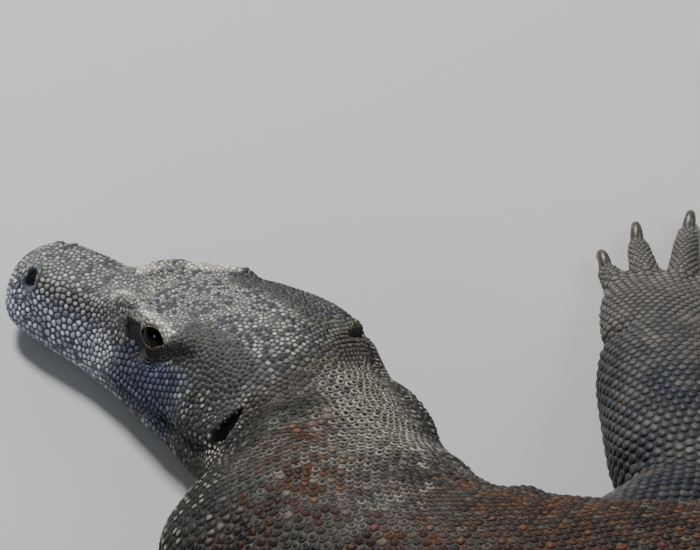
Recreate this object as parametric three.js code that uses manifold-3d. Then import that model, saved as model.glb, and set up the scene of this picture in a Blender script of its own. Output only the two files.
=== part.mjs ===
// A life-size komodo dragon lying on its belly, chin on the floor, right foreleg stretched out sideways.
// Millimetres. +X runs from the shoulders towards the tail, +Y is the animal's right, +Z is up.
// The origin is on the floor under the middle of the belly, and everything that rests has a flat at Z = 0.
import * as THREE from "three";
import { mergeVertices } from "three/addons/utils/BufferGeometryUtils.js";
import Module from "manifold-3d";

const wasm = await Module();
wasm.setup();

// ---------------------------------------------------------------- driving dimensions
const SNOUT = [-643, 386]; // snout tip in plan
const EAR_AT = 212; // distances along the back, from the snout tip
const SHOULDER_AT = 505;
const HIP_AT = 1085;
const LENGTH = 2480;
const PARTING = 0.3; // clear gap between neighbouring solids
const EYE = { at: 129, out: 29, up: 65, radius: 10.2 };
const MOUTH_CORNER_AT = 158;

// Heading of the back in plan, in degrees from +X, at distances from the snout tip.
const TAILWARD = [[650, -9], [850, -5], [1085, 0], [1300, 14], [1600, 22], [1850, 18], [2150, -4],
  [2480, -22]];
const HEADING = [[0, -29], [150, -29], [185, -38], [215, -56], [248, -79], [285, -83], [330, -74],
  [370, -58], [410, -42], [450, -29], [520, -18], ...TAILWARD];
// The way the cross-sections face: they turn more gently than the neck, so that they never cross.
const FACING = [[0, -29], [150, -29], [200, -34], [235, -41], [272, -56], [312, -66], [350, -61],
  [400, -47], [450, -34], [500, -24], [560, -16], ...TAILWARD];

// Outline of the body: half width, height of the back, height of the widest line, and the underside.
const HALF_WIDTH = [[0, 7], [3, 16.5], [8, 24.5], [16, 30], [30, 33.5], [50, 35.5], [75, 38.5], [100, 44],
  [122, 51.5], [150, 62], [178, 72], [200, 77], [225, 78], [255, 77], [280, 82], [310, 94], [345, 104],
  [375, 102], [410, 99], [450, 98], [520, 104], [600, 118], [700, 139], [850, 153], [960, 140],
  [1050, 112], [1110, 92], [1180, 71], [1300, 53], [1450, 40], [1700, 28], [2000, 18], [2300, 9.5],
  [2480, 3.5]];
const TOP = [[0, 33], [3, 41.5], [8, 48], [16, 53.5], [30, 57.5], [55, 59], [78, 61], [96, 67], [113, 75],
  [133, 82], [158, 88], [182, 91], [212, 90], [245, 89], [290, 97], [340, 114], [400, 133], [460, 149],
  [520, 164], [600, 181], [700, 195], [850, 205], [960, 198], [1050, 178], [1110, 160], [1180, 128],
  [1300, 99], [1450, 80], [1700, 57], [2000, 37], [2300, 19], [2480, 8]];
const WIDEST = [[0, 24], [20, 22], [60, 20], [122, 21], [178, 24], [225, 29], [300, 42], [400, 58],
  [520, 72], [850, 82], [1050, 76], [1180, 58], [1450, 36], [2000, 17], [2480, 4]];
const UNDERSIDE = [[0, 19], [3, 13], [8, 8], [16, 3], [28, 0], [45, -1], [70, -1.5], [300, -3], [600, -4],
  [1050, -4], [1200, -2.5], [1700, -1.6], [2480, -0.8]];
const BACK_SQUARENESS = [[0, 2.1], [60, 2.15], [110, 2.3], [135, 2.3], [178, 2.05], [225, 2], [300, 2.05],
  [600, 2.1], [1050, 2], [1200, 1.85], [2480, 1.9]];
const BELLY_SQUARENESS = [[0, 2.2], [60, 2.6], [178, 2.8], [300, 2.3], [2480, 2.2]];

// Swells and hollows of the head: lines of [at, out, up], their reach, and their push along out and up.
const HEAD_FORMS = [
  { from: [90, 14, 66], to: [146, 38, 76], reach: 8.5, out: 3.0, up: 5.0 }, // brow ridge
  { from: [122, 43, 60], to: [138, 45, 59], reach: 12, out: -6, up: 0 }, // eye hollow
  { from: [84, 33, 46], to: [106, 40, 48], reach: 12, out: -3, up: 0 }, // hollow before the eye
  { from: [24, 20, 54], to: [50, 21, 57], reach: 11, out: 2.0, up: 2.0 }, // swollen nose
  { from: [26, 25, 49], to: [26, 25, 49], reach: 5, out: -4, up: 0 }, // nostril
  { from: [20, 30, 22], to: [150, 56, 34], reach: 9, out: 2, up: 0 }, // lips
  { from: [182, 62, 50], to: [212, 64, 55], reach: 20, out: 4.5, up: 1.0 }, // jaw muscle
  { from: [158, 38, 82], to: [203, 42, 87], reach: 14, out: 2.5, up: 1 }, // temple
];

const FLOOR_CUT = new THREE.BoxGeometry(6000, 4000, 200).translate(0, 0, -100);

// ---------------------------------------------------------------- smooth tables and the line of the back
// The slope at key i of a table, flat at the turning points so that nothing overshoots.
function slopeAt(keys, i) {
  const rise = (a) => (keys[a + 1][1] - keys[a][1]) / (keys[a + 1][0] - keys[a][0]);
  if (i === 0) return rise(0);
  if (i === keys.length - 1) return rise(i - 1);
  const [before, after] = [rise(i - 1), rise(i)];
  return before * after <= 0 ? 0 : (2 * before * after) / (before + after);
}

// A smooth value of a table of [place, value] at a place.
function along(keys, place) {
  const last = keys.length - 1;
  if (place <= keys[0][0]) return keys[0][1];
  if (place >= keys[last][0]) return keys[last][1];
  let i = 0;
  while (keys[i + 1][0] < place) i += 1;
  const span = keys[i + 1][0] - keys[i][0];
  const t = (place - keys[i][0]) / span;
  const [a, b] = [keys[i][1], keys[i + 1][1]];
  const [ma, mb] = [slopeAt(keys, i) * span, slopeAt(keys, i + 1) * span];
  const rest = 1 - t;
  return (a * (1 + 2 * t) + ma * t) * rest ** 2 + (b * (3 - 2 * t) - mb * rest) * t ** 2;
}

// The line of the back in plan, one point a millimetre.
const BACK = [SNOUT];
for (let s = 0; s < LENGTH; s += 1) {
  const turn = THREE.MathUtils.degToRad(along(HEADING, s + 0.5));
  const [x, y] = BACK[s];
  BACK.push([x + Math.cos(turn), y + Math.sin(turn)]);
}

// The point at a distance along the back, out to the animal's right, and up.
function spot(at, right, up) {
  const s = Math.min(Math.max(Math.floor(at), 0), LENGTH - 1);
  const turn = THREE.MathUtils.degToRad(along(HEADING, at));
  const face = THREE.MathUtils.degToRad(along(FACING, at));
  const [x, y] = BACK[s];
  const ahead = at - s;
  return new THREE.Vector3(
    x + ahead * Math.cos(turn) - right * Math.sin(face),
    y + ahead * Math.sin(turn) + right * Math.cos(face),
    up,
  );
}

// ---------------------------------------------------------------- solids
function solid(geometry) {
  const loose = geometry.index ? geometry.toNonIndexed() : geometry;
  const bare = new THREE.BufferGeometry();
  bare.setAttribute("position", loose.getAttribute("position"));
  const merged = mergeVertices(bare, 1e-4);
  const triVerts = new Uint32Array(merged.index.array);
  return new wasm.Manifold(
    new wasm.Mesh({ numProp: 3, vertProperties: merged.attributes.position.array, triVerts }),
  );
}

const FLOOR = solid(FLOOR_CUT);

// A closed skin through rings: a sphere's own grid, with each of its rows moved on to one ring.
// point(row, angle) gives a ring's point, and centre(row) the middle of the first and last one.
function loft(sides, rows, point, centre) {
  const grid = new THREE.SphereGeometry(1, sides, rows + 1);
  const position = grid.getAttribute("position");
  for (let i = 0; i < position.count; i += 1) {
    const row = Math.floor(i / (sides + 1)) - 1;
    const angle = ((i % (sides + 1)) % sides) * ((2 * Math.PI) / sides);
    const end = row < 0 || row >= rows;
    const p = end ? centre(row < 0 ? 0 : rows - 1) : point(row, angle);
    position.setXYZ(i, p.x, p.y, p.z);
  }
  const made = solid(grid);
  return made.volume() > 0 ? made : solid(flipped(grid));
}

function flipped(geometry) {
  const turned = geometry.toNonIndexed();
  const position = turned.getAttribute("position");
  for (let i = 0; i < position.count; i += 3) {
    const a = new THREE.Vector3().fromBufferAttribute(position, i);
    const b = new THREE.Vector3().fromBufferAttribute(position, i + 1);
    position.setXYZ(i, b.x, b.y, b.z);
    position.setXYZ(i + 1, a.x, a.y, a.z);
  }
  return turned;
}

// How far a head form reaches the point, from 1 on its line to 0.
function share(form, at, out, up) {
  const line = new THREE.Line3(new THREE.Vector3(...form.from), new THREE.Vector3(...form.to));
  const here = new THREE.Vector3(at, out, up);
  const near = line.closestPointToPoint(here, true, new THREE.Vector3());
  return Math.exp(-((near.distanceTo(here) / form.reach) ** 2));
}

// A point of the body's outline. Angle 0 is the right side and a quarter turn is the back.
function bodyPoint(at, angle, grow = 0) {
  const [side, rise] = [Math.cos(angle), Math.sin(angle)];
  const middle = along(WIDEST, at);
  const reach = rise >= 0 ? along(TOP, at) - middle : middle - along(UNDERSIDE, at);
  const power = 2 / along(rise >= 0 ? BACK_SQUARENESS : BELLY_SQUARENESS, at);
  let out = (along(HALF_WIDTH, at) + grow) * Math.abs(side) ** power;
  let up = middle + Math.sign(rise) * (reach + grow) * Math.abs(rise) ** power;
  if (at < EAR_AT + 20) {
    const [flatOut, flatUp] = [out, up];
    const inside = Math.min(1, Math.abs(side) * 4); // the middle line stays where it is
    for (const form of HEAD_FORMS) {
      const near = share(form, at, flatOut, flatUp) * inside;
      out += form.out * near;
      up += form.up * near;
    }
  }
  return spot(at, Math.sign(side) * out, up);
}

function bodyLength(from, to, step, sides, grow = 0) {
  const rows = Math.max(2, Math.round((to - from) / step) + 1);
  const at = (row) => from + ((to - from) * row) / (rows - 1);
  return loft(
    sides,
    rows,
    (row, angle) => bodyPoint(at(row), angle, grow),
    (row) => spot(at(row), 0, along(WIDEST, at(row))),
  );
}

// A limb, toe or claw along a bowed line from start over a turning point to end. Its girths are
// [share of the way, half width level with the floor, half width square to that].
function limb(line, girths, rows, sides, grow = 0) {
  const curve = new THREE.QuadraticBezierCurve3(...line);
  const levels = girths.map(([at, level]) => [at, level]);
  const uprights = girths.map(([at, , upright]) => [at, upright]);
  const ring = (row, angle) => {
    const u = row / (rows - 1);
    const ahead = curve.getTangent(u);
    const across = new THREE.Vector3(-ahead.y, ahead.x, 0).normalize();
    const over = new THREE.Vector3().crossVectors(ahead, across);
    return curve
      .getPoint(u)
      .addScaledVector(across, (along(levels, u) + grow) * Math.cos(angle))
      .addScaledVector(over, (along(uprights, u) + grow) * Math.sin(angle));
  };
  return loft(sides, rows, ring, (row) => curve.getPoint(row / (rows - 1)));
}

// ---------------------------------------------------------------- the parts
const SKINS = {
  head: { color: 0x6d6a66, roughness: 0.8 },
  face: { color: 0x4a5060, roughness: 0.65 },
  body: { color: 0x5f574c, roughness: 0.75 },
  limb: { color: 0x45474d, roughness: 0.75 },
  eye: { color: 0x0c0b0a, roughness: 0.08 },
  claw: { color: 0x2b2724, roughness: 0.4 },
};
const group = new THREE.Group();

function add(name, shape, skin) {
  const made = shape.getMesh();
  const geometry = new THREE.BufferGeometry();
  geometry.setAttribute("position", new THREE.BufferAttribute(new Float32Array(made.vertProperties), 3));
  geometry.setIndex(new THREE.BufferAttribute(new Uint32Array(made.triVerts), 1));
  geometry.computeVertexNormals();
  const mesh = new THREE.Mesh(geometry, new THREE.MeshStandardMaterial(SKINS[skin]));
  mesh.name = name;
  group.add(mesh);
}

// Head and lower jaw, parted along the line of the mouth.
const MOUTH = [[-20, 15], [6, 15], [25, 13], [60, 13], [80, 17], [102, 24], [130, 28],
  [MOUTH_CORNER_AT, 31], [176, 16], [184, -30]];

// Everything below the mouth line, dropped by a gap, as a block across the head.
function belowMouth(drop) {
  const side = new THREE.Shape();
  side.moveTo(MOUTH[0][0], -60);
  for (const [at, up] of MOUTH) side.lineTo(at, up - drop);
  side.lineTo(MOUTH.at(-1)[0], -60);
  const block = new THREE.ExtrudeGeometry(side, { depth: 200, bevelEnabled: false }).translate(0, 0, -100);
  const tailward = spot(1, 0, 0).sub(spot(0, 0, 0));
  const rightward = spot(0, 1, 0).sub(spot(0, 0, 0));
  const stand = new THREE.Matrix4().makeBasis(tailward, new THREE.Vector3(0, 0, 1), rightward.negate());
  block.applyMatrix4(stand.setPosition(spot(0, 0, 0)));
  return solid(block);
}

const eyeBall = (right, grow = 0) => {
  const ball = new THREE.SphereGeometry(EYE.radius + grow, 12, 8);
  return solid(ball.translate(...spot(EYE.at, right * EYE.out, EYE.up).toArray()));
};

const wholeHead = bodyLength(0, EAR_AT, 11, 26).subtract(FLOOR);
const sockets = eyeBall(1, PARTING).add(eyeBall(-1, PARTING));
add("head", wholeHead.subtract(belowMouth(0)).subtract(sockets), "head");
add("lower_jaw", wholeHead.intersect(belowMouth(PARTING)), "face");
add("eye_right", eyeBall(1), "eye");
add("eye_left", eyeBall(-1), "eye");

// Neck, trunk and tail, each from one cut to the next.
const LENGTHS = [
  ["neck", EAR_AT, 430, 24, 20],
  ["shoulders", 430, 640, 35, 20],
  ["trunk", 640, 1010, 53, 20],
  ["hips", 1010, 1180, 42, 20],
  ["tail_base", 1180, 1560, 63, 14],
  ["tail_middle", 1560, 2000, 73, 12],
  ["tail_tip", 2000, LENGTH, 96, 8],
];
for (const [name, from, to, step, sides] of LENGTHS) {
  const piece = bodyLength(from + PARTING, to, step, sides);
  add(name, piece.subtract(FLOOR), "body");
}
// What a leg is cut back from, so that it meets the trunk with a clear gap.
const torso = LENGTHS.slice(0, 4)
  .map(([, from, to, step, sides]) => bodyLength(from, to, step, sides, 2 * PARTING))
  .reduce((a, b) => a.add(b));

// Legs. Points are [back, out, up] from the spot on the floor under the shoulders or hips, and a
// foot faces a way in degrees, from 0 for backwards through 90 for outwards to 180 for forwards.
const FRONT = {
  girdle: SHOULDER_AT,
  upper: [[0, 48, 46], [0.55, 42, 40], [1, 40, 37]],
  lower: [[0, 44, 40], [0.3, 55, 42], [0.7, 54, 36], [1, 48, 26]],
  palm: [[0, 47, 24], [0.5, 50, 21], [1, 45, 13]],
  scale: 1,
};
const HIND = {
  girdle: HIP_AT,
  upper: [[0, 70, 62], [0.55, 56, 50], [1, 42, 39]],
  lower: [[0, 42, 38], [0.3, 46, 40], [0.7, 38, 31], [1, 31, 23]],
  palm: [[0, 31, 22], [0.5, 36, 20], [1, 40, 14]],
  scale: 1.12,
};
// Each toe: the fan of its knuckle from the middle of the foot, how far out that is, and its length.
const TOES = [[34, 60, 44], [17, 74, 54], [-1, 84, 60], [-17, 84, 60], [-38, 68, 46]];
const TOE = { root: 11, middle: 10.5, tip: 8.4, knuckleUp: 20 }; // half widths, and the height of a knuckle
const TOE_SUNK = 0.7; // how far a toe's tip is sunk, which leaves a small flat under it
const TOE_PARALLEL = 0.6; // share of the fan that is left beyond the knuckles
const TOE_ROOT = { fan: 0.8, reach: 0.45, up: 0.55, raised: 6 }; // where it starts, from the ankle
const CLAW = { length: 21, root: 4.8, middle: 3.4, tip: 0.7, arch: 8, depth: 1.2 };
const PALM = { length: 76, up: 12 };
const BOW = { upper: 8, lower: 4 }; // how far the middle of a limb is raised
const FRONT_ROOT = [10, 42, 68];
const HIND_ROOT = [4, 38, 88];
const LEGS = [
  {
    name: "front_right",
    side: 1,
    form: FRONT,
    line: { root: FRONT_ROOT, knee: [42, 188, 44], ankle: [-38, 327, 27] },
    facing: 108,
  },
  {
    name: "front_left",
    side: -1,
    form: FRONT,
    line: { root: FRONT_ROOT, knee: [58, 164, 44], ankle: [-52, 240, 26] },
    facing: 146,
  },
  {
    name: "hind_right",
    side: 1,
    form: HIND,
    line: { root: HIND_ROOT, knee: [-118, 168, 64], ankle: [-2, 244, 30] },
    facing: 122,
  },
  {
    name: "hind_left",
    side: -1,
    form: HIND,
    line: { root: HIND_ROOT, knee: [-92, 176, 62], ankle: [36, 240, 30] },
    facing: 116,
  },
];

const largest = (shape) => shape.decompose().reduce((a, b) => (a.volume() > b.volume() ? a : b));

function addLeg({ name, side, form, line, facing }) {
  const { root, knee, ankle } = line;
  const place = ([back, out, up]) => {
    const under = spot(form.girdle, 0, 0);
    const rightward = spot(form.girdle, 1, 0).sub(under);
    const tailward = new THREE.Vector3(rightward.y, -rightward.x, 0);
    return under.addScaledVector(tailward, back).addScaledVector(rightward, side * out).setZ(up);
  };
  const between = (a, b, lift) => a.map((v, i) => (v + b[i]) / 2 + (i === 2 ? lift : 0));
  const step = ([back, out], degrees, length, up) => {
    const way = THREE.MathUtils.degToRad(degrees);
    return [back + length * Math.cos(way), out + length * Math.sin(way), up];
  };
  const upper = (grow) => {
    const bone = limb([root, between(root, knee, BOW.upper), knee].map(place), form.upper, 4, 12, grow);
    const knob = new THREE.SphereGeometry(form.upper.at(-1)[1] + grow, 12, 6);
    return bone.add(solid(knob.translate(...place(knee).toArray())));
  };
  const shin = [knee, between(knee, ankle, BOW.lower), ankle].map(place);
  const lower = (grow) => limb(shin, form.lower, 4, 12, grow);
  const toes = TOES.map(([fan, reach, length]) => {
    const rootUp = TOE_ROOT.up * ankle[2] + TOE_ROOT.raised;
    const rootAt = step(ankle, facing + fan * TOE_ROOT.fan, TOE_ROOT.reach * reach * form.scale, rootUp);
    const knuckle = step(ankle, facing + fan, reach * form.scale, TOE.knuckleUp);
    const way = facing + fan * TOE_PARALLEL;
    const tip = step(knuckle, way, length * form.scale, TOE.tip - TOE_SUNK);
    const claw = step(tip, way, CLAW.length * form.scale, CLAW.tip);
    const arch = step(tip, way, 0.6 * CLAW.length * form.scale, TOE.tip + CLAW.arch);
    return { rootAt, knuckle, tip, claw, arch };
  });
  const toeGirths = [[0, TOE.root], [0.6, TOE.middle], [0.93, TOE.tip], [1, 0.6 * TOE.tip]];
  const toe = ({ rootAt, knuckle, tip }, grow) =>
    limb([rootAt, knuckle, tip].map(place), toeGirths.map(([at, half]) => [at, half, half]), 4, 7, grow);
  const foot = (grow) => {
    const pad = step(ankle, facing, PALM.length * form.scale, PALM.up);
    const palm = limb([ankle, between(ankle, pad, 0), pad].map(place), form.palm, 3, 10, grow);
    return toes.reduce((shape, t) => shape.add(toe(t, grow)), palm);
  };
  add(`${name}_upper_leg`, largest(upper(0).subtract(torso).subtract(FLOOR)), "limb");
  const lowerCut = lower(0).subtract(upper(PARTING)).subtract(torso).subtract(FLOOR);
  add(`${name}_lower_leg`, largest(lowerCut), "limb");
  add(`${name}_foot`, largest(foot(0).subtract(lower(PARTING)).subtract(FLOOR)), "limb");
  toes.forEach((t, i) => {
    const girths = [[0, CLAW.root, CLAW.root * CLAW.depth], [0.5, CLAW.middle, CLAW.middle * CLAW.depth],
      [1, CLAW.tip, CLAW.tip]];
    const horn = limb([t.tip, t.arch, t.claw].map(place), girths, 3, 5);
    add(`${name}_claw_${i + 1}`, largest(horn.subtract(toe(t, PARTING)).subtract(FLOOR)), "claw");
  });
}
LEGS.forEach(addLeg);

export default group;
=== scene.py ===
import math

import bmesh
import bpy
import numpy as np
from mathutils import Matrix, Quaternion, Vector
from mathutils.bvhtree import BVHTree
from mathutils.kdtree import KDTree


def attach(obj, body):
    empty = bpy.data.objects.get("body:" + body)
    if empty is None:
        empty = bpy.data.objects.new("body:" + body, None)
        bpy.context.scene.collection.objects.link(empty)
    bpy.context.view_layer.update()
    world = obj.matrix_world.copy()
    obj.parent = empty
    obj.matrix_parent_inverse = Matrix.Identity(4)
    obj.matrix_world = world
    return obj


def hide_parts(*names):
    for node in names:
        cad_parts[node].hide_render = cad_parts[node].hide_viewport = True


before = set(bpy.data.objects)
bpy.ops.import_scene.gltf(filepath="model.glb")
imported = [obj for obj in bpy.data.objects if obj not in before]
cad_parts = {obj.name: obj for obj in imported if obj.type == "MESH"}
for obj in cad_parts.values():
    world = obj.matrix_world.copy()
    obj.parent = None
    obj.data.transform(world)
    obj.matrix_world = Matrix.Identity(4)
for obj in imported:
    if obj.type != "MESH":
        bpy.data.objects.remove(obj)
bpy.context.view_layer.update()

MM = 0.001
ROUND = 2 * math.pi
rng = np.random.default_rng(7)

# ---------------------------------------------------------------- driving dimensions, as in the solids
SNOUT = (-643, 386)
SHOULDER_AT = 505
HIP_AT = 1085
LENGTH = 2480
EYE = {"at": 129, "out": 29, "up": 65, "radius": 10.2}
TAILWARD = [(650, -9), (850, -5), (1085, 0), (1300, 14), (1600, 22), (1850, 18), (2150, -4), (2480, -22)]
HEADING = [(0, -29), (150, -29), (185, -38), (215, -56), (248, -79), (285, -83), (330, -74), (370, -58),
           (410, -42), (450, -29), (520, -18), *TAILWARD]
FACING = [(0, -29), (150, -29), (200, -34), (235, -41), (272, -56), (312, -66), (350, -61), (400, -47),
          (450, -34), (500, -24), (560, -16), *TAILWARD]
HALF_WIDTH = [(0, 7), (3, 16.5), (8, 24.5), (16, 30), (30, 33.5), (50, 35.5), (75, 38.5), (100, 44),
              (122, 51.5), (150, 62), (178, 72), (200, 77), (225, 78), (255, 77), (280, 82), (310, 94),
              (345, 104), (375, 102), (410, 99), (450, 98), (520, 104), (600, 118), (700, 139),
              (850, 153), (960, 140), (1050, 112), (1110, 92), (1180, 71), (1300, 53), (1450, 40),
              (1700, 28), (2000, 18), (2300, 9.5), (2480, 3.5)]
TOP = [(0, 33), (3, 41.5), (8, 48), (16, 53.5), (30, 57.5), (55, 59), (78, 61), (96, 67), (113, 75),
       (133, 82), (158, 88), (182, 91), (212, 90), (245, 89), (290, 97), (340, 114), (400, 133),
       (460, 149), (520, 164), (600, 181), (700, 195), (850, 205), (960, 198), (1050, 178), (1110, 160),
       (1180, 128), (1300, 99), (1450, 80), (1700, 57), (2000, 37), (2300, 19), (2480, 8)]
WIDEST = [(0, 24), (20, 22), (60, 20), (122, 21), (178, 24), (225, 29), (300, 42), (400, 58), (520, 72),
          (850, 82), (1050, 76), (1180, 58), (1450, 36), (2000, 17), (2480, 4)]
UNDERSIDE = [(0, 19), (3, 13), (8, 8), (16, 3), (28, 0), (45, -1), (70, -1.5), (300, -3), (600, -4),
             (1050, -4), (1200, -2.5), (1700, -1.6), (2480, -0.8)]
BACK_SQUARENESS = [(0, 2.1), (60, 2.15), (110, 2.3), (135, 2.3), (178, 2.05), (225, 2), (300, 2.05),
                   (600, 2.1), (1050, 2), (1200, 1.85), (2480, 1.9)]
BELLY_SQUARENESS = [(0, 2.2), (60, 2.6), (178, 2.8), (300, 2.3), (2480, 2.2)]
MOUTH = [(-20, 15), (6, 15), (25, 13), (60, 13), (80, 17), (102, 24), (130, 28), (158, 31), (176, 16),
         (184, -30)]
# Lines of the head's forms: from (at, out, up) to (at, out, up), reach, and push along out and up.
HEAD_FORMS = [
    ((90, 14, 66), (146, 38, 76), 8.5, 3.0, 5.0),  # brow ridge
    ((122, 43, 60), (138, 45, 59), 12, -6, 0),  # eye hollow
    ((84, 33, 46), (106, 40, 48), 12, -3, 0),  # hollow before the eye
    ((24, 20, 54), (50, 21, 57), 11, 2.0, 2.0),  # swollen nose
    ((26, 25, 49), (26, 25, 49), 5, -4, 0),  # nostril
    ((20, 30, 22), (150, 56, 34), 9, 2, 0),  # lips
    ((182, 62, 50), (212, 64, 55), 20, 4.5, 1.0),  # jaw muscle
    ((158, 38, 82), (203, 42, 87), 14, 2.5, 1),  # temple
]
# Finer forms that only the skin has, written in the same way.
FINE_FORMS = [
    ((84, 10, 61), (106, 18, 68), 10, 1.5, 3.4),  # forehead between the brow and the snout
    ((80, 20, 58), (98, 22, 64), 8, 0.8, 2.4),
    ((92, 14, 66), (120, 28, 73), 4.5, 2.0, 1.2),  # the brow's shelf
    ((120, 28, 73), (148, 37, 79), 4.5, 2.6, 1.2),  # the same, over the eye
    ((95, 21, 62), (105, 31, 60), 2.6, 1.3, 0.6),  # ridge before the eye
    ((105, 31, 60), (111, 41, 51), 2.6, 1.4, 0.2),
    ((113, 35, 64), (119, 43, 54), 5.5, -2.6, -0.8),  # hollow behind that ridge
    ((145, 43, 70), (163, 42, 76), 3.2, -1.7, -0.7),  # fold behind the eye
    ((14, 20, 46), (19, 25, 41), 2.1, -2.0, 0),  # crease under the nostril, running on over the upper lip
    ((19, 25, 41), (36, 33, 34), 2.1, -2.4, 0),
    ((36, 33, 34), (69, 37.5, 29), 2.1, -2.4, 0),
    ((69, 37.5, 29), (96, 41, 37), 2.1, -1.8, 0),
    ((12, 20, 50), (30, 17, 56), 5.0, -0.8, -0.8),  # dip over the nose
    ((156, 64, 33), (195, 75, 41), 4.0, -3.2, 0.3),  # fold below the jaw muscle
    ((195, 75, 41), (256, 61, 69), 4.5, -3.4, -0.8),
    ((244, 46, 82), (252, 70, 60), 12, -2.6, -1.2),  # valley behind the ear
]
FRONT = {
    "girdle": SHOULDER_AT,
    "upper": [(0, 48, 46), (0.55, 42, 40), (1, 40, 37)],
    "lower": [(0, 44, 40), (0.3, 55, 42), (0.7, 54, 36), (1, 48, 26)],
    "palm": [(0, 47, 24), (0.5, 50, 21), (1, 45, 13)],
    "scale": 1,
}
HIND = {
    "girdle": HIP_AT,
    "upper": [(0, 70, 62), (0.55, 56, 50), (1, 42, 39)],
    "lower": [(0, 42, 38), (0.3, 46, 40), (0.7, 38, 31), (1, 31, 23)],
    "palm": [(0, 31, 22), (0.5, 36, 20), (1, 40, 14)],
    "scale": 1.12,
}
TOES = [(34, 60, 44), (17, 74, 54), (-1, 84, 60), (-17, 84, 60), (-38, 68, 46)]
TOE = {"root": 11, "middle": 10.5, "tip": 8.4, "knuckle_up": 20, "sunk": 0.7, "parallel": 0.6}
TOE_ROOT = {"fan": 0.8, "reach": 0.45, "up": 0.55, "raised": 6}
CLAW = {"length": 21, "root": 4.8, "middle": 3.4, "tip": 0.7, "arch": 8, "depth": 1.2}
PALM = {"length": 76, "up": 12}
BOW = {"upper": 8, "lower": 4}
LEGS = {
    "front_right": (1, FRONT, (10, 42, 68), (42, 188, 44), (-38, 327, 27), 108),
    "front_left": (-1, FRONT, (10, 42, 68), (58, 164, 44), (-52, 240, 26), 146),
    "hind_right": (1, HIND, (4, 38, 88), (-118, 168, 64), (-2, 244, 30), 122),
    "hind_left": (-1, HIND, (4, 38, 88), (-92, 176, 62), (36, 240, 30), 116),
}
COAT_DEPTH = 1.3  # how far the skin lies inside the solids


# ---------------------------------------------------------------- smooth tables and the line of the back
def along(keys, place):
    """A smooth value of a table of (place, value), flat at its turning points."""
    x, y = np.array(keys, float).T
    rise = np.diff(y) / np.diff(x)
    slope = np.concatenate([rise[:1], np.zeros(len(x) - 2), rise[-1:]])
    before, after = rise[:-1], rise[1:]
    turning = before * after <= 0
    total = np.where(turning, 1, before + after)
    slope[1:-1] = np.where(turning, 0, 2 * before * after / total)
    place = np.clip(place, x[0], x[-1])
    i = np.clip(np.searchsorted(x, place, side="right") - 1, 0, len(x) - 2)
    span = x[i + 1] - x[i]
    t = (place - x[i]) / span
    rest = 1 - t
    return ((y[i] * (1 + 2 * t) + slope[i] * span * t) * rest**2
            + (y[i + 1] * (3 - 2 * t) - slope[i + 1] * span * rest) * t**2)


def step(low, high, value):
    """0 below low, 1 above high, smooth between. low may be the larger one."""
    t = np.clip((value - low) / (high - low), 0, 1)
    return t * t * (3 - 2 * t)


def window(value, start, full, last, end):
    """1 from full to last, falling smoothly to 0 at start and at end."""
    return step(start, full, value) * step(end, last, value)


def hump(value, middle, width):
    """1 at the middle, falling smoothly to 0 on both sides."""
    return np.exp(-((value - middle) / width) ** 2)


def size_of(vectors):
    """The vectors' lengths, kept as a last axis."""
    return np.linalg.norm(vectors, axis=-1, keepdims=True)


def unit(vectors):
    """The vectors at a length of 1."""
    return vectors / np.maximum(size_of(vectors), 1e-6)


def run_of(points):
    """How far along a row of points each of them lies."""
    return np.r_[0, np.cumsum(np.linalg.norm(np.diff(points, axis=0), axis=1))]


def grid(rows, sides):
    """Values for rings: one of the rows for each ring, and an angle for each of its sides."""
    return np.meshgrid(rows, np.linspace(0, ROUND, sides, endpoint=False), indexing="ij")


turns = np.radians(along(HEADING, np.arange(LENGTH) + 0.5))
BACK = np.array(SNOUT, float) + np.vstack([[0, 0], np.cumsum(np.c_[np.cos(turns), np.sin(turns)], axis=0)])


def spot(at, right, up):
    """The point at a distance along the back, out to the animal's right, and up."""
    at, right, up = np.broadcast_arrays(np.asarray(at, float), right, up)
    whole = np.clip(np.floor(at).astype(int), 0, LENGTH - 1)
    turn = np.radians(along(HEADING, at))
    face = np.radians(along(FACING, at))
    ahead = at - whole
    x = BACK[whole, 0] + ahead * np.cos(turn) - right * np.sin(face)
    y = BACK[whole, 1] + ahead * np.sin(turn) + right * np.cos(face)
    return np.stack([x, y, up], axis=-1)


def pace(at, right):
    """How far a point beside the body moves for each millimetre along the back: less inside a bend."""
    turn, face = np.radians(along(HEADING, at)), np.radians(along(FACING, at))
    bend = np.radians(along(FACING, at + 1) - along(FACING, at - 1)) / 2
    return np.cos(turn - face) - right * bend


def located(points):
    """The (at, right) of points beside the body: the reverse of spot."""
    batch, rounds, caution, past_end = 20000, 12, 0.8, 5
    coarse = np.arange(0, LENGTH, 10)
    at = np.empty(len(points))
    for start in range(0, len(points), batch):
        part = points[start:start + batch, :2]
        gap = ((part[:, None] - BACK[None, coarse]) ** 2).sum(axis=2)
        at[start:start + batch] = coarse[gap.argmin(axis=1)]
    for _ in range(rounds):
        face = np.radians(along(FACING, at))
        away = points[:, :2] - spot(at, 0, 0)[:, :2]
        ahead = away[:, 0] * np.cos(face) + away[:, 1] * np.sin(face)
        right = away[:, 1] * np.cos(face) - away[:, 0] * np.sin(face)
        at = np.clip(at + caution * ahead / np.maximum(pace(at, right), 0.3), -past_end, LENGTH + past_end)
    return at, right


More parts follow.
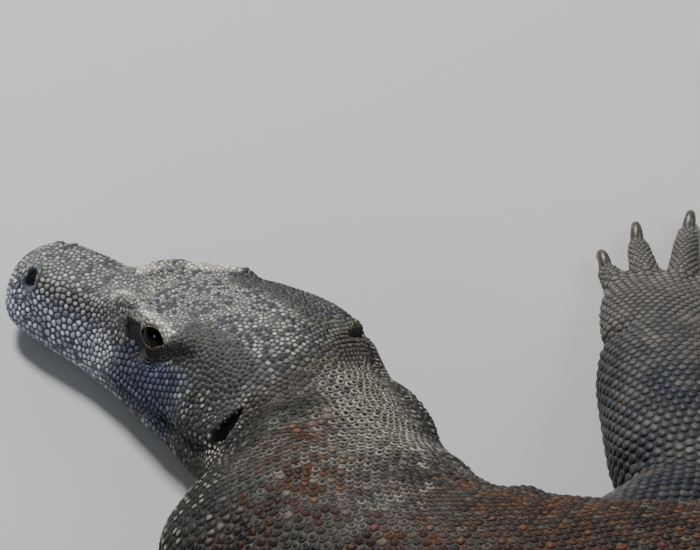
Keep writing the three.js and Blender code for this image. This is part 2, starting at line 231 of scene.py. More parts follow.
# ---------------------------------------------------------------- mesh helpers
def noise(points, size, seed):
    """Smooth noise from 0 to 1 over space, with lumps of about the given size."""
    cell = np.asarray(points, float) / size + 1000.37 * (seed + 1)
    base = np.floor(cell).astype(np.int64)
    t = cell - base
    t = t * t * (3 - 2 * t)
    total = np.zeros(len(cell))
    for corner in np.ndindex(2, 2, 2):
        at = base + corner
        mixed = (at[:, 0] * 73856093) ^ (at[:, 1] * 19349663) ^ (at[:, 2] * 83492791) ^ (seed * 2654435761)
        mixed = (mixed ^ (mixed >> 13)) * 1274126177 & 0x7FFFFFFF
        share = np.prod(np.where(corner, t, 1 - t), axis=1)
        total += share * ((mixed ^ (mixed >> 11)) % 65536) / 65535
    return total


def in_scene(name, data):
    """An object of the scene that shows this mesh, light or camera."""
    made = bpy.data.objects.new(name, data)
    bpy.context.scene.collection.objects.link(made)
    return made


def make_object(name, points, faces):
    """A mesh object from points in millimetres and its faces."""
    mesh = bpy.data.meshes.new(name)
    mesh.from_pydata((np.asarray(points) * MM).tolist(), [], faces)
    mesh.validate()
    return in_scene(name, mesh)


def shade_smooth(mesh):
    """Shades a mesh without facets."""
    mesh.polygons.foreach_set("use_smooth", np.ones(len(mesh.polygons), bool))


def set_values(mesh, name, values):
    """Puts a number or a colour on each point of a mesh, for its material."""
    if values.ndim == 1:
        layer = mesh.attributes.new(name, "FLOAT", "POINT")
        layer.data.foreach_set("value", values.astype(np.float32))
    else:
        layer = mesh.attributes.new(name, "FLOAT_COLOR", "POINT")
        layer.data.foreach_set("color", np.c_[values, np.ones(len(values))].astype(np.float32).ravel())


def coordinates(mesh):
    """A mesh's points in millimetres."""
    flat = np.empty(len(mesh.vertices) * 3)
    mesh.vertices.foreach_get("co", flat)
    return flat.reshape(-1, 3) / MM


def set_coordinates(mesh, points):
    """Moves a mesh's points, given in millimetres."""
    mesh.vertices.foreach_set("co", (points * MM).astype(np.float32).ravel())
    mesh.update()


def tree_of(points):
    """A tree that finds the nearest of these points."""
    tree = KDTree(len(points))
    for i, p in enumerate(points.tolist()):
        tree.insert(p, i)
    tree.balance()
    return tree


def nearest_of(tree, points):
    """The number of the tree's nearest point, for each of these."""
    return np.array([tree.find(p)[1] for p in points.tolist()])


def loft(rings):
    """Points and faces of a closed skin through an array of rings: rows, sides, 3."""
    rows, sides = rings.shape[:2]
    points = np.vstack([rings.reshape(-1, 3), rings[0].mean(axis=0), rings[-1].mean(axis=0)])
    faces = []
    for row in range(rows - 1):
        for j in range(sides):
            k = (j + 1) % sides
            faces.append((row * sides + j, row * sides + k, (row + 1) * sides + k, (row + 1) * sides + j))
    first, last = rows * sides, rows * sides + 1
    for j in range(sides):
        k = (j + 1) % sides
        faces.append((first, k, j))
        faces.append((last, (rows - 1) * sides + j, (rows - 1) * sides + k))
    return points, faces


def combined(lofts):
    """The points and faces of several closed skins as those of one mesh."""
    points, faces, start = [], [], 0
    for part_points, part_faces in lofts:
        points.append(part_points)
        faces += [tuple(i + start for i in face) for face in part_faces]
        start += len(part_points)
    return np.vstack(points), faces


# ---------------------------------------------------------------- forms of the body
def outline_half(at, above, grow):
    """Height of the widest line, reach from there and squareness, on the back's or the belly's half."""
    middle = along(WIDEST, at)
    reach = np.where(above, along(TOP, at) - middle, middle - along(UNDERSIDE, at)) + grow
    return middle, reach, np.where(above, along(BACK_SQUARENESS, at), along(BELLY_SQUARENESS, at))


def section(at, angle, grow=0.0):
    """Half breadth (signed) and height of the outline. Angle 0 is the right, a quarter turn the back."""
    side, rise = np.cos(angle), np.sin(angle)
    middle, reach, squareness = outline_half(at, rise >= 0, grow)
    power = 2 / squareness
    out = (along(HALF_WIDTH, at) + grow) * np.abs(side) ** power
    return np.sign(side) * out, middle + np.sign(rise) * reach * np.abs(rise) ** power


def ring_angle(at, right, up, grow=0.0):
    """The angle whose outline point has this direction from the middle of its ring."""
    above = up >= along(WIDEST, at)
    middle, reach, squareness = outline_half(at, above, grow)
    power = squareness / 2
    side = (np.abs(right) / (along(HALF_WIDTH, at) + grow)) ** power
    rise = (np.abs(up - middle) / reach) ** power
    return np.arctan2(np.where(above, rise, -rise), np.sign(right) * side)


def line_share(at, out, up, start, end, reach):
    """1 on the line from start to end in (at, out, up), falling to 0 over its reach."""
    a, b = np.array(start, float), np.array(end, float)
    here = np.stack(np.broadcast_arrays(at, out, up), axis=-1)
    span = max(float((b - a) @ (b - a)), 1e-9)
    t = np.clip(((here - a) @ (b - a)) / span, 0, 1)
    near = a + t[..., None] * (b - a)
    return np.exp(-((here - near) ** 2).sum(axis=-1) / reach**2)


# Directions at the eye, in (at, out, up): outwards, along the lids, and across them.
EYE_MIDDLE = np.array([EYE["at"], EYE["out"], EYE["up"]], float)
EYE_AXIS = unit(np.array([-0.02, 0.88, 0.475]))
LID_ALONG = np.array([1.0, 0.02, 0.02])
LID_ALONG = unit(LID_ALONG - (LID_ALONG @ EYE_AXIS) * EYE_AXIS)
LID_ACROSS = np.cross(EYE_AXIS, LID_ALONG)
LID_ACROSS *= np.sign(LID_ACROSS[2])
LID_HALF = 8.4  # half length of the eye's opening
LID_HEIGHTS = (5.4, 7.4)  # how far it opens above and below the line of its corners
LID_PINCH = 0.25  # how much lower it is towards the corners
LID_FOLDS = [(1.4, 1.0), (1.52, -0.5), (1.66, 1.1), (1.8, -0.6), (1.95, 1.3), (2.1, -0.7), (2.28, 1.8),
             (2.45, -0.5), (2.62, 1.3)]  # ring, and how deep the fold is there
LID_FOLD_WIDTH = 0.075
LID_END = 2.36  # the ring where the bare lower lid ends
LID_END_FRONT = 0.55  # how much further out it ends before the eye
NOSTRIL = {"middle": (25, 22, 48), "half": (4.2, 4.5), "tilt": 0.2, "depth": 6.5}
EAR = {"at": 226, "up": 66, "half": (2.7, 9.6), "widening": 4.0, "leaning": 4.2, "depth": 10}
HEAD_END = 262  # the head's finer mesh and scales end here
FAR_RING = 9  # a ring's value where the point can't belong to the opening


def eye_place(at, out, up):
    """How far out from the eye's middle a point lies, and where in the plane of the lids."""
    away = np.stack(np.broadcast_arrays(at, out, up), axis=-1) - EYE_MIDDLE
    return away @ EYE_AXIS, away @ LID_ALONG, away @ LID_ACROSS


def lid_pinch(x):
    """How high the eye opens at a distance from its middle, as a share."""
    return 1 - LID_PINCH * np.clip(np.abs(x) / LID_HALF, 0, 1) ** 2


def lid_ring(x, y):
    """1 on the edge of the eye's opening, less inside and more outside."""
    above, below = LID_HEIGHTS
    return np.sqrt((x / LID_HALF) ** 2 + (y / (np.where(y > 0, above, below) * lid_pinch(x))) ** 2)


def nostril_ring(at, out, up):
    """1 on the nostril's rim."""
    a = at - NOSTRIL["middle"][0]
    b = up - NOSTRIL["middle"][2]
    turn = NOSTRIL["tilt"]
    x = a * math.cos(turn) + b * math.sin(turn)
    y = b * math.cos(turn) - a * math.sin(turn)
    ring = np.sqrt((x / NOSTRIL["half"][0]) ** 2 + (y / NOSTRIL["half"][1]) ** 2)
    return np.where(out > 8, ring, FAR_RING)


def ear_low(y):
    """0 at the ear's upper end, 1 at its lower end."""
    return np.clip(0.5 - 0.5 * y / EAR["half"][1], 0, 1.2)


def ear_ring(at, right, up):
    """1 on the rim of the ear's opening, a crescent that widens forwards at its lower end."""
    x = (at - EAR["at"]) * np.maximum(pace(at, right), 0.2)
    y = up - EAR["up"]
    low = ear_low(y)
    x = (x + EAR["leaning"] * low) / (EAR["half"][0] + EAR["widening"] * low)
    ring = np.sqrt(x**2 + (y / EAR["half"][1]) ** 2)
    return np.where(np.abs(right) > 35, ring, FAR_RING)


def lips_moved(at, off, flat_share):
    """How far out the lips' parting line moves the skin, with a fuller upper lip above it."""
    on_side = np.clip(step(0.35, 0.7, flat_share) * step(172, 158, at) + (at < 4) * 0.6, 0, 1)
    return on_side * (1.2 * hump(off, 4.5, 3.2) - 2.6 * hump(off, 0, 1.0) - 0.9 * hump(off, -4, 3))


def lids_moved(at, out, up):
    """How far the lids, closed round the eyeball and folded below, move points along the eye's axis."""
    height, x, y = eye_place(at, out, up)
    near = (height > 0) & (np.hypot(x, y) < 26)
    ring = np.where(near, lid_ring(x, y), FAR_RING)
    dome = np.sqrt(np.maximum(EYE["radius"] ** 2 - x**2 - y**2, 0))
    lower = step(2.5, -2.5, y)
    lid = np.maximum(dome, 5.6 + 0.5 * lower) + 1.0 * step(0.94, 1.06, ring) - 3.4 * step(1.0, 0.86, ring)
    shift = (lid - height) * step(1.35 + 0.4 * lower, 1.06, ring)
    folds = sum(deep * hump(ring, middle, LID_FOLD_WIDTH) for middle, deep in LID_FOLDS)
    return np.where(near, shift - lower * folds, 0)


def head_forms(at, right, up):
    """Moves points of the plain outline on to the forms of the head, neck and throat."""
    side = np.where(right < 0, -1.0, 1.0)
    out = np.abs(right)
    flat_out, flat_up = out, up
    flat_share = flat_out / np.maximum(along(HALF_WIDTH, at), 1)
    inside = np.minimum(1, flat_share * 4)
    for start, end, reach, push_out, push_up in HEAD_FORMS + FINE_FORMS:
        near = line_share(at, flat_out, flat_up, start, end, reach) * inside
        out = out + push_out * near
        up = up + push_up * near
    out = out + lips_moved(at, flat_up - along(MOUTH, at), flat_share)
    # Loose skin along and across the neck, and the fold that hangs before the shoulder.
    place = spot(at, right, up)
    loose = 2.6 * (noise(place, 24, 11) - 0.5) + 1.6 * (noise(place, 11, 12) - 0.5)
    loose = window(at, 228, 262, 420, 500) * loose
    out = out + loose
    up = up + loose * step(0.7, 0.4, flat_share)
    out = out + 7 * hump(at + 0.12 * (60 - flat_up), 452, 13) * step(0.45, 0.85, flat_share)
    # Skin heaps up on the right, where the neck turns.
    heap = line_share(at, flat_out, flat_up, (266, 74, 64), (284, 78, 67), 17) * (side > 0)
    out = out + 9 * heap
    up = up + 2 * heap
    # The ear's slit in its swollen edge.
    ear = ear_ring(at, right, flat_up)
    slit = EAR["depth"] * step(1.15, 0.5, ear)
    out = out - slit + 1.6 * hump(ear, 1.65, 0.45)
    up = up - 0.35 * slit
    # The nostril in its swollen rim.
    nose = nostril_ring(at, flat_out, flat_up)
    pit = NOSTRIL["depth"] * step(1.05, 0.55, nose)
    rim = hump(nose, 1.42, 0.34)
    out = out - pit + 1.3 * rim
    up = up - 0.5 * pit + 1.1 * rim
    shift = lids_moved(at, out, up)
    at, out, up = (value + shift * share for value, share in zip((at, out, up), EYE_AXIS))
    return at, side * np.maximum(out, 0), up


def body_forms(at, right, up):
    """Slow swells of the trunk: folds of skin on the flanks and at the root of the tail."""
    flank = step(0.5, 0.85, np.abs(right) / np.maximum(along(HALF_WIDTH, at), 1))
    ribs = np.sin(at / 9.5 + 0.02 * up + 1.3 * np.sin(at / 61.0)) * window(at, 600, 700, 930, 1020)
    belly = np.sin(up / 11.0 + 0.8 * np.sin(at / 47.0)) * window(at, 560, 660, 980, 1060)
    swell = flank * (1.3 * ribs + 1.6 * belly * step(150, 60, up))
    waist = np.sin((at + 0.3 * up) / 8.0) * window(at, 990, 1040, 1110, 1160) * flank
    return at, right + np.sign(right) * (swell + 1.5 * waist), up


# ---------------------------------------------------------------- legs
def leg_plan(name):
    """The lines of a leg: each a (start, turning point, end), and its girths."""
    side, form, root, knee, ankle, facing = LEGS[name]
    under = spot(form["girdle"], 0, 0)
    rightward = spot(form["girdle"], 1, 0) - under
    tailward = np.array([rightward[1], -rightward[0], 0])

    def place(point):
        back, out, up = point
        return under + tailward * back + rightward * side * out + np.array([0, 0, up])

    def between(a, b, lift):
        return tuple((p + q) / 2 + (lift if i == 2 else 0) for i, (p, q) in enumerate(zip(a, b)))

    def away(start, degrees, length, up):
        way = math.radians(degrees)
        return (start[0] + length * math.cos(way), start[1] + length * math.sin(way), up)

    scale = form["scale"]
    pad = away(ankle, facing, PALM["length"] * scale, PALM["up"])
    lines = {
        "upper": ([root, between(root, knee, BOW["upper"]), knee], form["upper"]),
        "lower": ([knee, between(knee, ankle, BOW["lower"]), ankle], form["lower"]),
        "palm": ([ankle, between(ankle, pad, 0), pad], form["palm"]),
    }
    toe_girths = [(0, TOE["root"]), (0.6, TOE["middle"]), (0.93, TOE["tip"]), (1, 0.6 * TOE["tip"])]
    for i, (fan, reach, length) in enumerate(TOES):
        root_up = TOE_ROOT["up"] * ankle[2] + TOE_ROOT["raised"]
        start = away(ankle, facing + fan * TOE_ROOT["fan"], TOE_ROOT["reach"] * reach * scale, root_up)
        knuckle = away(ankle, facing + fan, reach * scale, TOE["knuckle_up"])
        way = facing + fan * TOE["parallel"]
        tip = away(knuckle, way, length * scale, TOE["tip"] - TOE["sunk"])
        claw = away(tip, way, CLAW["length"] * scale, CLAW["tip"])
        arch = away(tip, way, 0.6 * CLAW["length"] * scale, TOE["tip"] + CLAW["arch"])
        lines[f"toe_{i + 1}"] = ([start, knuckle, tip], [(at, half, half) for at, half in toe_girths])
        lines[f"claw_{i + 1}"] = ([tip, arch, claw], None)
    return {part: (np.array([place(p) for p in points]), girths) for part, (points, girths) in lines.items()}


PLANS = {name: leg_plan(name) for name in LEGS}
# Every length of limb that has girths, which is all but the claws: leg, part, line and girths.
LIMBS = [(leg, part, line, girths) for leg, plan in PLANS.items()
         for part, (line, girths) in plan.items() if girths]


def limb_point(line, girths, u, angle, grow=0.0):
    """A point of a limb's outline, u of the way along it."""
    start, turn, end = line
    u, angle = np.broadcast_arrays(np.asarray(u, float), angle)
    w = u[..., None]
    middle = start * (1 - w) ** 2 + 2 * turn * w * (1 - w) + end * w**2
    ahead = unit((turn - start) * (1 - w) + (end - turn) * w)
    across = unit(np.stack([-ahead[..., 1], ahead[..., 0], 0 * u], axis=-1))
    over = np.cross(ahead, across)
    level = along([(g[0], g[1]) for g in girths], u) + grow
    upright = along([(g[0], g[2]) for g in girths], u) + grow
    return middle + across * (level * np.cos(angle))[..., None] + over * (upright * np.sin(angle))[..., None]


def limb_rings(line, girths, spacing, sides, grow):
    """A limb's outline as rings about spacing apart."""
    rows = max(4, round(run_of(line)[-1] / spacing))
    u, angle = grid(np.linspace(0, 1, rows), sides)
    return limb_point(line, girths, u, angle, grow)


def ball(middle, radius, rows=16, sides=24):
    """A sphere as closed rings."""
    lift, angle = grid(np.linspace(-1.5, 1.5, rows), sides)
    flat = np.stack([np.cos(lift) * np.cos(angle), np.cos(lift) * np.sin(angle), np.sin(lift)], axis=-1)
    return middle + radius * flat


# ---------------------------------------------------------------- the one skin
SKIN_FLOOR = 0.9  # the skin's own underside, with the belly scales between it and the floor
VOXEL = 3.6
LEG_REACH = 60  # how far off the legs still shape the body
SMOOTHING = {"everywhere": 6, "meetings": 26, "bends": 22}  # rounds; legs meet the body, and bend
BODY_SIDES = 96
LEG_SIDES = 32
ROW_GAP = 4  # between the rings of body and legs


def edges_of(mesh):
    """The numbers of both ends of every edge."""
    ends = np.empty(len(mesh.edges) * 2, np.int64)
    mesh.edges.foreach_get("vertices", ends)
    return ends.reshape(-1, 2).T


def smoothed(mesh, points, rounds, weight=1.0, keep_size=True):
    """Evens the points out along the mesh's edges; with keep_size thin parts stay as thick."""
    shrink, swell = 0.5, -0.53
    a, b = edges_of(mesh)
    both = np.r_[a, b]
    count = np.bincount(both, minlength=len(points))[:, None]
    points = points.copy()
    for turn in range(rounds * (2 if keep_size else 1)):
        total = np.stack([np.bincount(both, np.r_[points[b, k], points[a, k]], len(points))
                          for k in range(3)], axis=1)
        pull = swell if keep_size and turn % 2 else shrink
        points += pull * np.reshape(weight, (-1, 1)) * (total / np.maximum(count, 1) - points)
    return points


def subdivided(mesh, chosen):
    """Halves the faces whose corners are all chosen."""
    bm = bmesh.new()
    bm.from_mesh(mesh)
    bm.verts.ensure_lookup_table()
    edges = {e for face in bm.faces if all(chosen[v.index] for v in face.verts) for e in face.edges}
    bmesh.ops.subdivide_edges(bm, edges=list(edges), cuts=1, use_grid_fill=True)
    bm.to_mesh(mesh)
    bm.free()


def body_loft():
    """The body's outline from the snout, with closer rings at its tip, to the end of the tail."""
    rows = np.concatenate([np.linspace(0, 12, 7), np.arange(16.0, LENGTH, ROW_GAP), [LENGTH]])
    at, angle = grid(rows, BODY_SIDES)
    return loft(spot(at, *section(at, angle, -COAT_DEPTH)))


def leg_lofts():
    """The legs' limbs, with a ball in each knee and elbow."""
    lofts = []
    for plan in PLANS.values():
        lofts += [loft(limb_rings(line, girths, ROW_GAP, LEG_SIDES, -COAT_DEPTH))
                  for line, girths in plan.values() if girths]
        knee, girth = plan["lower"][0][0], plan["upper"][1][-1][1]
        lofts.append(loft(ball(knee, girth - COAT_DEPTH)))
    return lofts


def joined(points, faces):
    """One mesh of even small faces round everything, without what lies inside."""
    deepest = -6
    points[:, 2] = np.maximum(points[:, 2], deepest)
    rough = make_object("rough_skin", points, faces)
    remesh = rough.modifiers.new("joined", "REMESH")
    remesh.mode = "VOXEL"
    remesh.voxel_size = VOXEL * MM
    graph = bpy.context.evaluated_depsgraph_get()
    mesh = bpy.data.meshes.new_from_object(rough.evaluated_get(graph))
    bpy.data.objects.remove(rough)
    return mesh


def leg_gap(points, legs):
    """How far each point is from the legs."""
    tree = BVHTree.FromPolygons((legs[0] * MM).tolist(), legs[1])
    gaps = np.full(len(points), 99.0)
    for i, p in enumerate(points):
        hit = tree.find_nearest(Vector(p) * MM, LEG_REACH * MM)
        if hit[0] is not None:
            gaps[i] = hit[3] / MM
    return gaps


def on_outline(at, right, up):
    """The nearest place, as right and up, on the outline that the skin follows."""
    return section(at, ring_angle(at, right, up, -COAT_DEPTH), -COAT_DEPTH)


def settle_skin(mesh, legs):
    """Lets body and legs flow together, and puts the rest exactly on the body's outline."""
    points = smoothed(mesh, coordinates(mesh), SMOOTHING["everywhere"])
    at, right = located(points)
    exact = spot(at, *on_outline(at, right, points[:, 2]))
    gap = leg_gap(points, legs)
    off = np.linalg.norm(points - exact, axis=1)
    on_body = step(9, 4, off) * window(at, 3, 7, LENGTH - 12, LENGTH - 3)
    meeting = np.clip(on_body * step(26, 2, gap) * 1.2, 0, 1)
    points = smoothed(mesh, points, SMOOTHING["meetings"], meeting, keep_size=False)
    bends = [end for plan in PLANS.values() for end in (plan["lower"][0][0], plan["lower"][0][2])]
    closest = np.min([np.linalg.norm(points - bend, axis=1) for bend in bends], axis=0)
    bending = step(66, 40, closest) * (gap < 3)
    points = smoothed(mesh, points, SMOOTHING["bends"], bending, keep_size=False)
    free = on_body * step(6, 24, gap)
    set_coordinates(mesh, points + (exact - points) * free[:, None])


def refine_head(mesh, *tests):
    """Halves the head's faces, or only those that pass a test of at, right and up."""
    points = coordinates(mesh)
    at, right = located(points)
    out, up = np.abs(right), points[:, 2]
    chosen = (at < HEAD_END) & (out < 110) & (up < 110) & (out < along(HALF_WIDTH, at) + 14)
    for test in tests:
        chosen &= test(at, right, up)
    subdivided(mesh, chosen)


def near_openings(at, right, up):
    """Round the eyes, nostrils and ears, and along the mouth."""
    out = np.abs(right)
    _, x, y = eye_place(at, out, up)
    fine = (np.hypot(x, y) < 24) & (out > 12)
    fine |= (np.abs(up - along(MOUTH, at)) < 7) & (at < 170)
    fine |= nostril_ring(at, out, up) < 2.6
    return fine | (ear_ring(at, right, up) < 2.6)


def near_lids(at, right, up):
    """Closer round the eyes, where the lids fold."""
    out = np.abs(right)
    _, x, y = eye_place(at, out, up)
    return (lid_ring(x, y) < 2.9) & (out > 12)


def shape_skin(mesh):
    """Gives the skin the forms of head, neck and trunk."""
    points = coordinates(mesh)
    at, right = located(points)
    up = points[:, 2]
    exact_right, exact_up = on_outline(at, right, up)
    close = step(9, 4, np.linalg.norm(points - spot(at, exact_right, exact_up), axis=1))
    head = close * window(at, 2, 6, 440, 480)
    right = right + (exact_right - right) * head
    up = up + (exact_up - up) * head
    new_at, new_right, new_up = head_forms(at, right, up)
    formed = spot(np.maximum(new_at, 0.3), new_right, new_up)
    points = points + (formed - points) * (close * step(500, 460, at))[:, None]
    up = points[:, 2]
    trunk = close * window(at, 580, 640, 1150, 1190)
    points = points + (spot(*body_forms(at, right, up)) - spot(at, right, up)) * trunk[:, None]
    points[:, 2] = np.maximum(points[:, 2], SKIN_FLOOR)
    set_coordinates(mesh, points)


def build_skin():
    """One closed skin over body and legs, without a seam."""
    legs = leg_lofts()
    mesh = joined(*combined([body_loft()] + legs))
    settle_skin(mesh, combined(legs))
    refine_head(mesh)
    refine_head(mesh, near_openings)
    refine_head(mesh, near_lids)
    shape_skin(mesh)
    shade_smooth(mesh)
    return in_scene("skin", mesh)


skin = build_skin()
FLESH = [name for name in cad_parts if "eye" not in name and "claw" not in name]
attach(skin, "root")
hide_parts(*FLESH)


# ---------------------------------------------------------------- where the scales grow
PLACE, NORMAL, ACROSS = slice(0, 3), slice(3, 6), slice(6, 9)  # columns of a table of seeds
SIZE, HEIGHT, KIND, U, V, FIXED = range(9, 15)
BODY = 0
LEG_KIND = {leg: 1 + i for i, leg in enumerate(PLANS)}
STAGGER = 0.87  # rows lie closer together than the scales in them
LEG_SCALE = {"upper": 7.0, "lower": 7.0, "palm": 5.8}
TOE_SCALE = 4.5
CHEEK_SCALE = 4.5
# Rows of scales round the openings: ring, or height over the mouth's line, and size.
LID_ROWS = ((1.13, 1.5), (2.45, 1.9), (2.68, 2.3), (2.96, 2.7))
NOSTRIL_ROWS = ((1.4, 3.0), (2.1, 3.6))
EAR_ROWS = ((1.14, 2.0), (1.46, 2.1), (1.78, 2.2), (2.1, 2.4))
LIP_ROWS = ((2.2, 3.9), (5.9, 3.8), (9.7, 3.7), (-2.4, 3.7), (-6.0, 3.5))
CROWN_PITCH = [(0, 2.8), (20, 3.4), (70, 3.3), (96, 2.6), (150, 2.5), (185, 2.9), (225, 3.9), (262, 5.1),
               (300, 5.8), (500, 6.3), (700, 7.2), (1050, 7.2), (1300, 6.8), (1700, 6.2), (2100, 5.2),
               (2480, 3.6)]
CHEEK_PITCH = [(0, 3.0), (20, 4.0), (60, 4.4), (90, 3.6), (150, 3.9), (190, 3.9), (225, 3.5), (285, 3.5),
               (320, 5.0), (345, 5.9), (360, 6.0)]
CHEEK_PITCH_END = 355
SCATTERED = 110000
CROWDED = 0.78  # share of a scale's size within which no other may grow
RELIEF = 1.35  # raises every scale

skin_points = coordinates(skin.data)
skin_faces = [tuple(p.vertices) for p in skin.data.polygons]
SKIN_TREE = BVHTree.FromPolygons(skin_points.tolist(), skin_faces)


def dropped(points):
    """The nearest points of the skin, its normals there, and how far they are."""
    places, normals, gaps = np.empty_like(points), np.empty_like(points), np.empty(len(points))
    for i, p in enumerate(points.tolist()):
        place, normal, _, gap = SKIN_TREE.find_nearest(p)
        places[i], normals[i], gaps[i] = place, normal, gap
    return places, normals, gaps


def rooted(points, across, size, lift, u, angle, kind=BODY, reach=9, fixed=0):
    """Seeds at the skin's points nearest to these, unless the skin is further than reach.

    lift is a scale's height as a share of its size. U is the place along the body, or a strip of a leg's
    unwrap, and V the turn round it. Of seeds that crowd each other, the first one in the table stays.
    """
    places, normals, gaps = dropped(points)
    single = [np.broadcast_to(np.asarray(x, float), (len(points),))[:, None]
              for x in (size, lift * size, kind, u, angle / ROUND, fixed)]
    return np.hstack([places, normals, across, *single])[gaps < reach]


def brow_share(at, out, up):
    """1 on the pale band along the brow's crest."""
    shelf = line_share(at, out, up, (90, 14, 65), (122, 28, 73), 6.5)
    shelf = np.maximum(shelf, line_share(at, out, up, (122, 28, 73), (142, 35, 77), 6.5))
    crest = 9 + 0.45 * np.clip(at - 88, 0, 60)  # how far out it begins
    return step(0.3, 0.5, shelf) * step(-1.5, 1.5, out - crest)


def below_of(angle):
    """0 on the back, 1 on the widest line, 2 on the belly."""
    return np.abs((angle - math.pi / 2 + math.pi) % ROUND - math.pi) / (math.pi / 2)


def body_pitch(at, below):
    """Spacing of the body's scales; below is 0 on the back, 1 on the widest line and 2 underneath."""
    crown = along(CROWN_PITCH, at)
    cheek = along(CHEEK_PITCH, at)
    pitch = np.where(at < CHEEK_PITCH_END, crown + (cheek - crown) * step(0.22, 0.48, below), crown)
    return pitch * (1 + 0.22 * step(1.25, 1.5, below) * step(500, 620, at))


def body_tangent(at, angle):
    """The way round the body at a point of its outline."""
    nudge = 0.01
    return unit(spot(at, *section(at, angle + nudge)) - spot(at, *section(at, angle - nudge)))


def staggered(length, count, row):
    """Even marks along a closed row, half a step further on in every other one."""
    return (np.arange(count) + 0.5 * (row % 2)) * length / count


def body_rows(start, end):
    """Staggered rings of scales round the body, where its rings neither crowd nor part in a bend."""
    fine = np.linspace(0, ROUND, 721) - math.pi / 2
    rows, at, row = [], start, 0
    while at < end:
        arc = np.linalg.norm(np.diff(spot(at, *section(at, fine, -COAT_DEPTH)), axis=0), axis=1)
        pitch = body_pitch(at, below_of(fine))
        count = np.r_[0, np.cumsum(arc / ((pitch[1:] + pitch[:-1]) / 2))]
        angle = np.interp(staggered(count[-1], max(6, round(count[-1])), row), count, fine)
        right, up = section(at, angle, -COAT_DEPTH)
        even = np.abs(pace(at, right) - 1) < 0.2
        angle, right, up = angle[even], right[even], up[even]
        if even.any():
            size = body_pitch(at, below_of(angle))
            rows.append(rooted(spot(at, right, up), body_tangent(at, angle), size, 0.2, at, angle))
        at += STAGGER * float(body_pitch(at, np.array([0.7]))[0])
        row += 1
    return rows


def oval(half_x, half_y, size, start=0.0):
    """Points round an oval, about size apart."""
    count = max(5, round(ROUND * math.sqrt((half_x**2 + half_y**2) / 2) / size))
    turn = np.linspace(0, ROUND, count, endpoint=False) + start
    return half_x * np.cos(turn), half_y * np.sin(turn)


def round_row(at, right, up, size, lift=0.2):
    """A closed row of scales at fixed places."""
    at, right, up = np.broadcast_arrays(at, right, up)
    points = spot(at, right, up)
    ahead = unit(np.roll(points, -1, axis=0) - np.roll(points, 1, axis=0))
    return rooted(points, ahead, size, lift, at, ring_angle(at, right, up), fixed=1)


def lid_row(side, ring, size):
    """A row round the eye, on the lower lid only where it is further out."""
    x, y = oval(LID_HALF * ring, ring, size, 0.2 * ring)
    y = y * np.where(y > 0, *LID_HEIGHTS) * lid_pinch(x / ring)
    keep = (y < 3) | (ring < 1.3)
    away = math.sqrt(EYE["radius"] ** 2 - 30) + 1
    place = EYE_MIDDLE + EYE_AXIS * away + x[:, None] * LID_ALONG + y[:, None] * LID_ACROSS
    at, out, up = place[keep].T
    return round_row(at, side * out, up, size, 0.14)


def nostril_row(side, ring, size):
    """A row round the nostril."""
    at, out, up = NOSTRIL["middle"]
    tilt = NOSTRIL["tilt"]
    a, b = oval(NOSTRIL["half"][0] * ring, NOSTRIL["half"][1] * ring, size * 0.8)
    at = at + a * math.cos(tilt) - b * math.sin(tilt)
    up = up + a * math.sin(tilt) + b * math.cos(tilt)
    return round_row(at, side * out, up, size)


def ear_row(side, ring, size):
    """A row round the ear's opening, which widens downwards as the opening does."""
    broad, right = 1.7, side * 60.0
    a, b = oval(EAR["half"][0] * broad * ring, EAR["half"][1] * ring, size)
    low = ear_low(b)
    a = a / broad * (1 + EAR["widening"] / EAR["half"][0] * low) - EAR["leaning"] * low
    at = EAR["at"] + a / max(float(pace(EAR["at"], right)), 0.2)
    return round_row(at, right, EAR["up"] + b, size)


def lip_row(side, rise, size):
    """A slightly uneven row along the mouth, at a height over its line."""
    at = np.arange(5 + (abs(rise) > 5) * size / 2, 172, size)
    at = at + rng.normal(0, 0.12 * size, len(at))
    up = along(MOUTH, at) + rise
    angle = ring_angle(at, side * along(HALF_WIDTH, at), np.maximum(up, 1))
    for _ in range(8):
        angle = angle + side * (up - section(at, angle)[1]) / 40
    return rooted(spot(at, *section(at, angle)), body_tangent(at, angle), size, 0.17, at, angle,
                  reach=8, fixed=1)


def cheek_rows(side):
    """The cheek's squarish scales, in staggered rows."""
    rows, size = [], CHEEK_SCALE
    for i, at in enumerate(np.arange(104, 170, 0.9 * size)):
        angle = np.linspace(-0.1, 0.72, 60)
        arc = run_of(spot(at, *section(at, angle)))
        angle = np.interp(np.arange(0.5 * (i % 2), arc[-1] / size) * size, arc, angle)
        angle = angle if side > 0 else math.pi - angle
        right, up = section(at, angle)
        _, x, y = eye_place(at, np.abs(right), up)
        keep = (up > along(MOUTH, at) + 11) & (lid_ring(x, y) > 3.15)
        angle, points = angle[keep], spot(at, right, up)[keep]
        rows.append(rooted(points, body_tangent(at, angle), size, 0.12, at, angle, reach=8, fixed=1))
    return rows


def head_rows():
    """Scales that follow the lids, nostrils, ears and lips, and the cheek's squarish rows."""
    rows = []
    for side in (1, -1):
        for made, table in ((lid_row, LID_ROWS), (nostril_row, NOSTRIL_ROWS), (ear_row, EAR_ROWS),
                            (lip_row, LIP_ROWS)):
            rows += [made(side, ring, size) for ring, size in table]
        rows += cheek_rows(side)
    return rows


